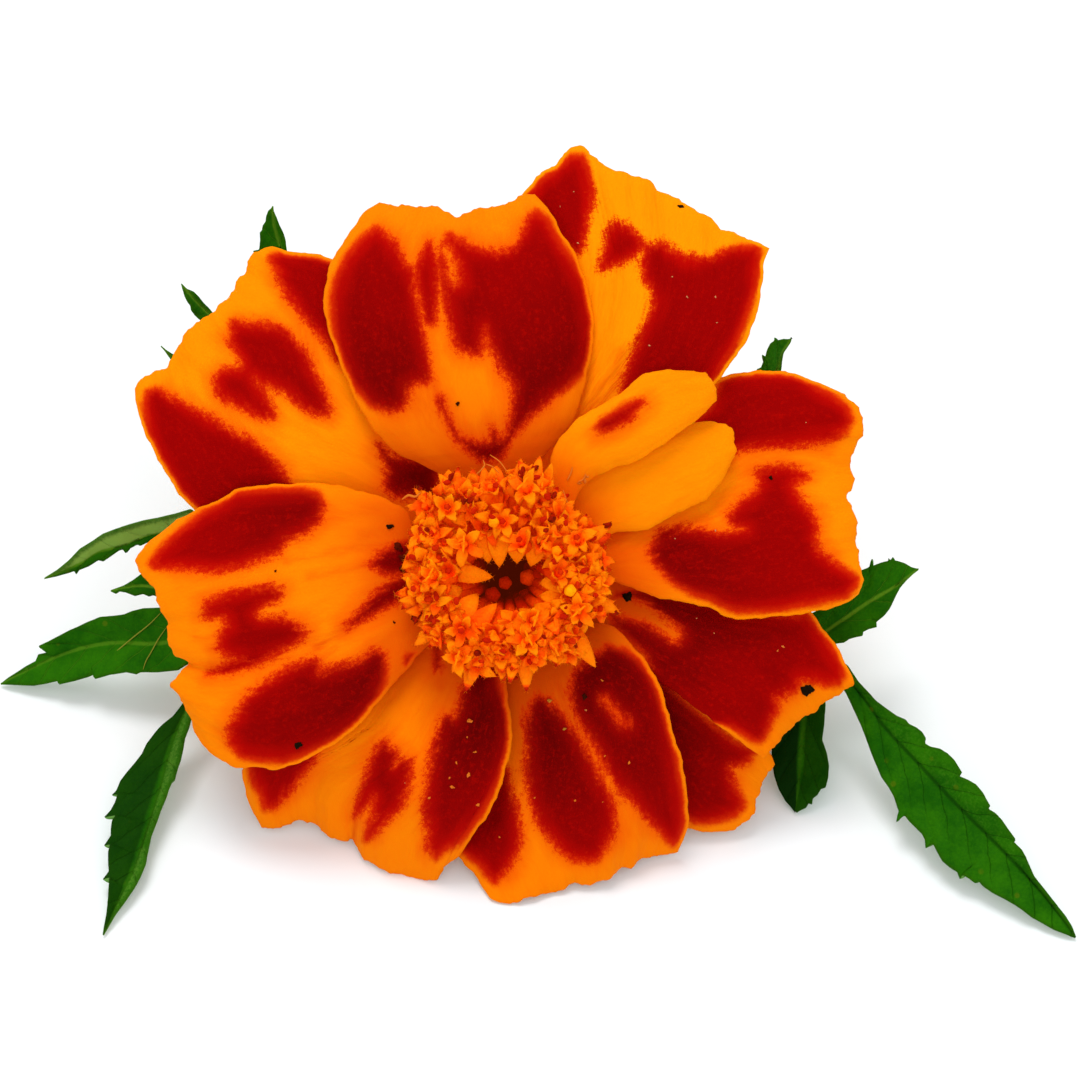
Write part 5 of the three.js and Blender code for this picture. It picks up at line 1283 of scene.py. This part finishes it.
def anthers(body, foot, axis, height, shade, rng):
    """The stub of anthers in a floret's throat, and from some of them a forked curling style."""
    ripe = rng.uniform(-1, 1)
    head = -0.5 if ripe < 0.1 else 0.7 if ripe > 0.9 else shade
    levels = np.array([0.0, 0.4, 0.7, 0.85, 0.95, 1.0]) * height
    centres = foot + axis * levels[:, None]
    sides = 10
    verts, faces = tube(centres, (0.24, 0.24, 0.21, 0.25, 0.19, 0.05), ACROSS, sides, 0.1)
    tint = np.repeat([shade - 0.4, shade - 0.2, shade, head, head, head], sides)
    body.add(verts, faces, tint=np.concatenate([tint, [shade, head]]))
    if ripe < 0.3:
        return
    across = unit(np.cross(axis, rng.normal(0, 1, 3)))
    bend = np.linspace(0, 1.0, 6)[:, None]
    for sign in (1, -1):
        path = foot + axis * (height * 0.8 + 0.75 * bend - 0.45 * bend**2) + sign * across * 0.65 * bend**1.5
        verts, faces = tube(path, (0.1, 0.1, 0.1, 0.09, 0.08, 0.05), FACE_OUT + 0.3 * across, 6)
        body.add(verts, faces, tint=shade + 0.25)


def lobe(body, foot, tip, width, arch, shade, end, rng, base=0.6):
    """A loose pointed lobe, arched and cupped, with a tip of its own tint and hairs at its edges."""
    t = np.linspace(0, 1, 9)[:, None]
    s = np.linspace(-1, 1, 5)[None]
    along = tip - foot
    side = unit(np.cross(along, FACE_OUT))
    up = unit(np.cross(side, along))
    half = width / 2 * np.minimum(base + 1.4 * t, np.clip((1 - t) / 0.7, 0.01, 1) ** 0.7)
    lift = arch * np.sin(math.pi * t) + 0.4 * half * s**2
    points = foot + t[..., None] * along + (s * half)[..., None] * side + lift[..., None] * up
    verts, faces, _ = blade(points, np.full(lift.shape, 0.09))
    # Darker at the foot and towards the sides, painted shade, with a tip of its own tint
    tint = np.where(t > 0.82, end, shade + 0.25 * t - 0.15 * np.abs(s))
    body.add(verts, faces, tint=twice(tint))
    for column, sign in ((0, -1), (-1, 1)):
        roots = points[2:, column]
        ways = unit(side * sign + unit(along) * 0.8 + rng.normal(0, 0.4, (len(roots), 3)))
        hairs(body, roots, ways, 0.5, rng)


def bud(body, foot, head, radius, tint):
    """A round closed floret on a thin tube."""
    axis = unit(head - foot)
    turn = np.linspace(0, math.pi, 10)
    heights = [*np.linspace(-2.2, -0.9, 4), *(-radius * np.cos(turn[2:]))]
    radii = [0.34, 0.34, 0.35, 0.38, *(radius * np.sin(turn[2:-1])), 0.06]
    centres = np.array([head + axis * h for h in heights])
    verts, faces = tube(centres, radii, ACROSS, 30, 0.06)
    body.add(verts, faces, tint=tint)


def disc_place(number, random):
    """Where the frame puts a floret: how far out it is as a share, its direction, middle and top."""
    t = (number - FIRST_FLORET) / (LAST_FLORET - FIRST_FLORET)
    angle = number * GOLDEN_ANGLE + 0.12 * (next(random) - 0.5)
    dx, dy = math.cos(angle), math.sin(angle)
    spread = FLORET_SPACING * math.sqrt(number) + 0.3 * (next(random) - 0.5)
    near = math.exp(-(((spread - 3.2) / 1.8) ** 2))
    x = 0.3 + spread * dx + near * (0.3 * spread * dx - 0.4)
    y = -0.2 + spread * dy - near * (0.18 * spread * dy + 0.5)
    return t, dx, dy, x, y, 2.3 - 0.6 * t + (round(number) % 3 - 1) * 0.45


def disc_edge(x, y):
    """How far out the disc reaches on the way to x, y."""
    angles, radii = zip(*DISC_EDGE)
    return np.interp(math.degrees(math.atan2(y, x)) % 360, angles, radii)


def florets(body, rng):
    """The frame's florets, and a lower one between each two of them except in the pit."""
    random, between = random_row(7), random_row(23)
    for number in np.arange(FIRST_FLORET, LAST_FLORET, 0.5):
        main = number == int(number)
        row = random if main else between
        t, dx, dy, x, y, top = disc_place(number, row)
        pull = mix(1, disc_edge(x, y) / 8.3, t)
        x, y = x * pull, y * pull
        lean = 0.15 + 0.5 * t
        axis = unit(on_table(lean * dx, lean * dy, 1) - on_table(0, 0, 0))
        turn = 6.28 * next(row)
        size = (1.35 + 0.4 * next(row)) * (1 - 0.15 * t)
        lift = 0.3 * (next(row) - 0.3)
        if main:
            tone = rng.uniform(0.15, 0.45)
        elif number > FIRST_FLORET + 2:
            # Lower florets between get darker, redder tones: painted shade in the gaps
            top, size, tone = top - 0.6, size * 0.95, rng.uniform(-0.15, 0.3)
        else:
            continue
        inner = math.exp(-(((number - FIRST_FLORET) / 4) ** 2))
        foot = on_table((1.5 + 1.5 * t) * dx, (1.5 + 1.5 * t) * dy, -6)
        knee = on_table((2.5 + 1.3 * t) * dx, (2.5 + 1.3 * t) * dy, -0.3)
        floret(body, foot, knee, on_table(x, y, top), axis, turn, size, lift, rng, tone,
               (-dx * inner, -dy * inner), inner)


def loose_lobes(body, rng):
    """Loose lobes spread all over the disc."""
    for k in range(LOOSE_LOBES):
        angle = GOLDEN_DEGREES * k
        radius = 3.6 + (disc_edge(*polar(1, angle)) - 4.2) * math.sqrt((k + 0.5) / LOOSE_LOBES)
        x, y = polar(radius, angle)
        way = angle + rng.uniform(-80, 80)
        dx, dy = polar(rng.uniform(0.5, 1.3), way)
        z = 2.9 - 0.012 * radius**2 * 2 + rng.uniform(-0.6, 0.2)
        lobe(body, on_table(x, y, z - 0.5), on_table(x + dx, y + dy, z + rng.uniform(-0.2, 0.6)),
             rng.uniform(0.7, 1.15), rng.uniform(0.1, 0.4), rng.uniform(0.15, 0.5),
             rng.choice([-0.5, -0.3, 0.3, 0.45, 0.6]), rng)


def rim_lobes(body, rng):
    """Lobes that stand out all round the disc's edge."""
    for k in range(RIM_LOBES):
        angle = 360 * k / RIM_LOBES + rng.uniform(-6, 6)
        outer = disc_edge(*polar(1, angle)) + rng.uniform(-0.7, 0.2)
        foot = polar(outer - rng.uniform(1.4, 2.2), angle)
        tip = polar(outer, angle + rng.uniform(-9, 9))
        lobe(body, on_table(*foot, rng.uniform(0.2, 1.4)),
             on_table(*tip, rng.uniform(-0.1, 0.9)), rng.uniform(0.8, 1.25), rng.uniform(0.1, 0.5),
             rng.uniform(0.05, 0.4), rng.choice([-0.6, 0.2, 0.4, 0.6]), rng)


def red_tips(body, rng):
    """Small red tips spread over the disc."""
    for k in range(RED_TIPS):
        angle = (360 - GOLDEN_DEGREES) * k + rng.uniform(-20, 20)
        radius = 3.4 + (disc_edge(*polar(1, angle)) - 3.8) * math.sqrt((k + 0.5) / RED_TIPS)
        place = on_table(*polar(radius, angle), 3.6 - 0.03 * radius**2)
        crumb(body, place, rng.uniform(0.4, 0.6), rng.uniform(-0.85, -0.5), rng, 0.3)


def disc(material):
    """The head of florets on its core, with everything that lies loose on it."""
    rng = np.random.default_rng(11)
    body = Body()
    # The core under the florets is tinted darkest: painted shade at the bottom of the pit
    core = np.array([on_table(0, 0, z) for z in (-9.6, -9.3, -6.4, -5.2, -4.4, -4.2)])
    verts, faces = tube(core, (3.9, 4.1, 4.1, 3.6, 2.5, 0.4), ACROSS, 40)
    body.add(verts, faces, tint=-1.0)
    florets(body, rng)
    for x, y, depth, radius, tint in BUDS:
        bud(body, on_table(x, y, depth - 3.6), on_table(x, y, depth), radius, tint)
    for x, y, tip_x, tip_y, width, tint in PIT_LOBES:
        lobe(body, on_table(x, y, 1.5), on_table(tip_x, tip_y, 0.6), width, 0.45, tint, tint + 0.15, rng, 1.0)
    loose_lobes(body, rng)
    rim_lobes(body, rng)
    for x, y, tip_x, tip_y, end in LONG_LOBES:
        width = 0.42 * math.hypot(tip_x - x, tip_y - y)
        lobe(body, on_table(x, y, 1.1), on_table(tip_x, tip_y, 0.3), width, 0.4, 0.35, end, rng, 0.8)
    for x, y, tip_x, tip_y, width in SCALES:
        lobe(body, on_table(x, y, -0.9), on_table(tip_x, tip_y, -1.0), width, 0.1, -0.45, -0.4, rng)
    red_tips(body, rng)
    for x, y, z, size in DARK_BITS:
        crumb(body, on_table(x, y, z), size, -0.8, rng)
    return body.piece("disc", material, "disc", "disc_florets")


# Involucre and stem
def involucre(material):
    """The cup of fused bracts, ribbed outside and toothed at its mouth."""
    mouth, floor, wall = -6.7, -10, 5.55
    bracts, sides = 9, 180
    rows = [(0.2, floor, 0, 0), (wall - 0.4, floor, 0, 0), (wall, floor + 0.4, 0, 0),
            (wall, mouth - 1.2, 0, 0), (wall + 0.05, mouth, 0, 1), (6.15, mouth - 0.1, 0, 1),
            (6.35, mouth - 1.6, 0.1, 0.3), (6.5, -10, 0.16, 0), (6.3, -13, 0.2, 0), (5.7, -16, 0.2, 0),
            (4.7, -18.6, 0.16, 0), (3.3, -20.7, 0.1, 0), (2.1, -22, 0, 0), (0.2, -22, 0, 0)]
    angle = 2 * math.pi * np.arange(sides) / sides
    wave = np.cos(bracts * angle)
    rings, place = [], []
    for (radius, z, rib, tooth), length in zip(*spline(rows, 10)):
        r = radius + rib * wave - 0.12 * np.exp(-((1 + wave) / 0.05)) * (rib > 0.05)
        rings.append(on_table(r * np.cos(angle), r * np.sin(angle), z + 0.5 * tooth * wave))
        place.append(np.stack([angle * 6, np.full(sides, length), np.zeros(sides)], -1))
    rings, place = np.array(rings)[:, ::-1], np.array(place)[:, ::-1]
    verts, faces = capped(rings, rings[0].mean(0), rings[-1].mean(0))
    body = Body()
    body.add(verts, faces, tint=0.0, place=np.vstack([place.reshape(-1, 3), np.zeros((2, 3))]))
    return body.piece("involucre_cup", material, "involucre", "involucre")


def bezier(points, t):
    """The points at t of the curve that four points make."""
    a, b, c, d = points
    t = t[:, None]
    return a * (1 - t) ** 3 + 3 * b * t * (1 - t) ** 2 + 3 * c * t**2 * (1 - t) + d * t**3


def stem(material):
    """The ribbed peduncle, bent where it meets the table, with a pale cut end."""
    low = 1.3 * math.cos(math.pi / 10)
    start = on_table(0, 0, -22.3)
    home = table_point(0, 0, 0)
    bend_y = start[1] - home[1]
    corners = [start - FACE_OUT * 0.5, start - FACE_OUT * 2.2, table_point(0, bend_y + 3.2, low),
               table_point(0.1, bend_y + 6.5, low)]
    bend = bezier(corners, np.linspace(0, 1, 40))
    t = np.linspace(0, 1, 60)[1:]
    run = np.stack([0.1 + 1.8 * t * t, mix(bend_y + 6.5, 45, t), np.full_like(t, low)], -1) + home
    centres = np.vstack([start[None], bend, run])
    taper = mix(2.1, 1.3, np.clip(np.linspace(0, 1.2, 40), 0, 1))
    radii = np.concatenate([[2.05], taper, np.full(len(run), 1.24)])
    sides = 40
    verts, faces = tube(centres, radii, ACROSS, sides, 0.025, 10)
    length = measured(centres)[1]
    around = np.tile(np.arange(sides) / sides * 8, len(centres))
    place = np.stack([around, np.repeat(length, sides), np.zeros(len(around))], -1)
    place = np.vstack([place, [[0, 0, 0], [0, length[-1], 0]]])
    tint = np.zeros(len(verts))
    tint[-1] = 1
    body = Body()
    body.add(verts, faces, tint=tint, place=place)
    return body.piece("stem_bark", material, "stem", "stem")


# Leaves
def toothed(rib, width, seed):
    """Both edges of a hidden leaflet with saw teeth, from its midrib, as seen points."""
    rng = np.random.default_rng(seed)
    line = spline([(x, y) for x, y, _ in rib])
    t = np.linspace(0, 1, 14 * LEAF_TEETH + 1)
    centre = at(line, t)
    tangent = unit(np.gradient(centre, axis=0))
    normal = np.stack([-tangent[:, 1], tangent[:, 0]], -1)
    shape = (2 * t) ** 0.8 * (2 * (1 - t)) ** 0.8
    edges = []
    for sign in (1, -1):
        phase = (t * LEAF_TEETH + 0.3 * rng.random()) % 1
        saw = 0.84 + 0.28 * phase**1.6
        saw = saw * np.where(phase > 0.93, 0.9, 1)
        reach = 0.12 + width * shape * saw
        reach[0] = 0.3
        reach[-1] = 0.02
        edges.append(centre + sign * normal * reach[:, None])
    return edges


def leaf_sheet(rib, left, right, slope, rows, columns):
    """A leaflet's grid: the seen places, height, way from the midrib, way along it and way to the rim."""
    middle = spline(rib)
    t = np.linspace(0, 1, rows)[:, None]
    centre, edge_l, edge_r = at(middle, t), at(left, t), at(right, t)
    share = np.sin(np.linspace(0, math.pi / 2, columns)) ** 0.9
    s = np.concatenate([-share[:0:-1], share])
    flat = mix(centre[..., :2], np.where(s[:, None] > 0, edge_l, edge_r), np.abs(s)[:, None])
    gap = np.linalg.norm(flat - centre[..., :2], axis=-1)
    across = gap * np.where(s > 0, 1, -1)
    z = centre[..., 2] + across * slope + gap * LEAF_FOLD
    along = np.repeat(t * middle[1][-1], len(s), 1)
    outer, inner = (np.maximum(np.linalg.norm(edge - centre[..., :2], axis=-1), 0.05)
                    for edge in (edge_l, edge_r))
    return flat, z, across, along, np.where(across >= 0, outer - across, inner + across)


def leaf_relief(z, across, along, seed):
    """The leaflet's height with its midrib groove, side veins, bulges between them and uneven waves."""
    out = np.abs(across)
    rib_groove = -0.1 * np.exp(-((across / 0.16) ** 2))
    bent = (along - VEIN_SLANT * out) % VEIN_SPACING
    side_groove = -0.05 * np.exp(-((np.minimum(bent, VEIN_SPACING - bent) / 0.2) ** 2)) * (out > 0.2)
    quilt = 0.05 * np.sin(bent / VEIN_SPACING * math.pi)
    sway = 0.1 * wobble(along, seed + 5, 7.0) * np.clip(out, 0, 1.5)
    return z + rib_groove + side_groove + quilt + sway


def leaflet(body, bits, rib, slope, seed, left=None, right=None, width=None, tones=(0.0, 0.0), vein=0.6,
            rows=90, columns=11, straws=()):
    """Adds one leaflet: a blade folded along its midrib, from edge to edge."""
    edges = toothed(rib, width, seed) if left is None else (np.array(left, float), np.array(right, float))
    flat, z, across, along, rim = leaf_sheet(rib, *(measured(edge) for edge in edges), slope, rows, columns)
    z = leaf_relief(z, across, along, seed)
    for line in straws:
        straw(bits, [seen(x, y, height_at(x, y, flat, z) + 0.24) for x, y in line], 0.05, -0.05)
    points = seen(flat[..., 0], flat[..., 1], z)
    verts, faces, side = blade(points[:, ::-1], LEAF_HALF * rounded(rim, 0.25, 0.04)[:, ::-1])
    tone = np.where(across > 0, tones[0], tones[1]) * np.clip(np.abs(across) / 0.2, 0, 1)
    place = np.stack([across, along, np.full_like(along, seed)], -1)
    body.add(verts, faces, side=side, tone=twice(tone[:, ::-1]), rim=twice(rim[:, ::-1]), vein=vein,
             place=twice(place[:, ::-1]))


def stalk(body, points, radius):
    """A leaf's stalk through points, thinner towards its end."""
    t = np.linspace(0, 1, 50)
    verts, faces = tube(at(spline(points), t), radius * (1 - 0.45 * t), np.array([0, 0.3, 1.0]), 16, 0.06, 3)
    body.add(verts, faces, side=1.0, tone=0.25, rim=2.0, vein=0.0, place=np.array([0.6, 0.0, 0.0]))


def leaf(node, material, stalk_points, stalk_radius, leaflets, bits):
    """One leaf: its stalk and its leaflets."""
    body = Body()
    stalk(body, stalk_points, stalk_radius)
    for shape in leaflets:
        leaflet(body, bits, **shape)
    return body.piece(f"{node}_blades", material, "leaf", node)


def leaf_right(material, bits):
    points = [table_point(2.2, 24, 1.8), table_point(6.5, 19.5, 6), seen(13.2, 1.9, -14.6),
              seen(18, -2.5, -13.8), seen(22.8, -5.4, -12.9)]
    leaf("leaf_right", material, points, 0.85, RIGHT_LEAFLETS, bits)


def leaf_left(material, bits):
    points = [table_point(-1.9, 24, 1.8), table_point(-6.5, 19.8, 6), seen(-12.4, 2.6, -15),
              seen(-17.8, -0.4, -14.8), seen(-21.8, -4.7, -14.2)]
    leaf("leaf_left", material, points, 0.85, LEFT_LEAFLETS, bits)


def leaf_back(material, bits):
    points = [table_point(-0.7, 36, 1.9), table_point(-5, 35.6, 4.6), seen(-10.2, 12.8, -29.6),
              seen(-13.8, 15.6, -29.4)]
    leaf("leaf_back", material, points, 0.75, BACK_LEAFLETS, bits)


# Stage and camera
def stage():
    """A white floor under an even white sky."""
    bpy.ops.mesh.primitive_plane_add(size=6)
    floor = bpy.context.object
    floor.name = "floor"
    paint = bpy.data.materials.new("floor")
    paint.use_nodes = True
    shader = paint.node_tree.nodes["Principled BSDF"]
    shader.inputs["Base Color"].default_value = (0.86, 0.895, 0.915, 1)
    shader.inputs["Roughness"].default_value = 0.9
    floor.data.materials.append(paint)
    world = bpy.data.worlds.new("sky")
    bpy.context.scene.world = world
    world.use_nodes = True
    world.node_tree.nodes["Background"].inputs[0].default_value = (1, 1, 1, 1)
    world.node_tree.nodes["Background"].inputs[1].default_value = 0.74


def sun(name, strength, angle, aim):
    """A light that shines everywhere from the direction aim, as soft as its angle in degrees."""
    light = bpy.data.lights.new(name, "SUN")
    light.energy = strength
    light.angle = math.radians(angle)
    lamp = bpy.data.objects.new(name, light)
    bpy.context.scene.collection.objects.link(lamp)
    lamp.rotation_mode = "QUATERNION"
    lamp.rotation_quaternion = Vector(aim).to_track_quat("Z", "Y")


def camera():
    """The camera that looks straight at the bloom's face."""
    data = bpy.data.cameras.new("camera")
    data.lens = 135
    data.sensor_width = 36
    data.clip_start = 0.01
    made = bpy.data.objects.new("camera", data)
    bpy.context.scene.collection.objects.link(made)
    axes = np.eye(4)
    axes[:3, 0] = ACROSS
    axes[:3, 1] = FACE_UP
    axes[:3, 2] = FACE_OUT
    axes[:3, 3] = on_table(*VIEW_MIDDLE, VIEW_DISTANCE) * MM
    made.matrix_world = Matrix(axes.tolist())
    bpy.context.scene.camera = made


velvet = petal_paint()
bits = Body()
for number, node in enumerate(PETALS):
    slot, grid = ("small_petal", SMALL_PETAL_GRID) if "small" in node else ("petal", PETAL_GRID)
    petal(node, velvet, slot, 100 + 10 * number, grid, bits)
disc(disc_paint())
for radius, points in STRAWS:
    straw(bits, [on_table(*point) for point in points], radius, 0.4)
involucre(stem_paint("involucre", hue(98, 150, 52), hue(58, 112, 30), 0.8))
stem(stem_paint("stem", hue(120, 160, 66), hue(72, 122, 36), 0.25))
leaves = leaf_paint()
leaf_right(leaves, bits)
leaf_left(leaves, bits)
leaf_back(leaves, bits)
bits.piece("crumbs_and_straw", bits_paint(), "disc")
stage()
sun("key", 1.4, 25, (-0.12, 0.3, 1.0))
sun("fill", 0.6, 60, (0.1, -0.8, 0.85))
camera()
bpy.context.scene.view_settings.view_transform = "Standard"
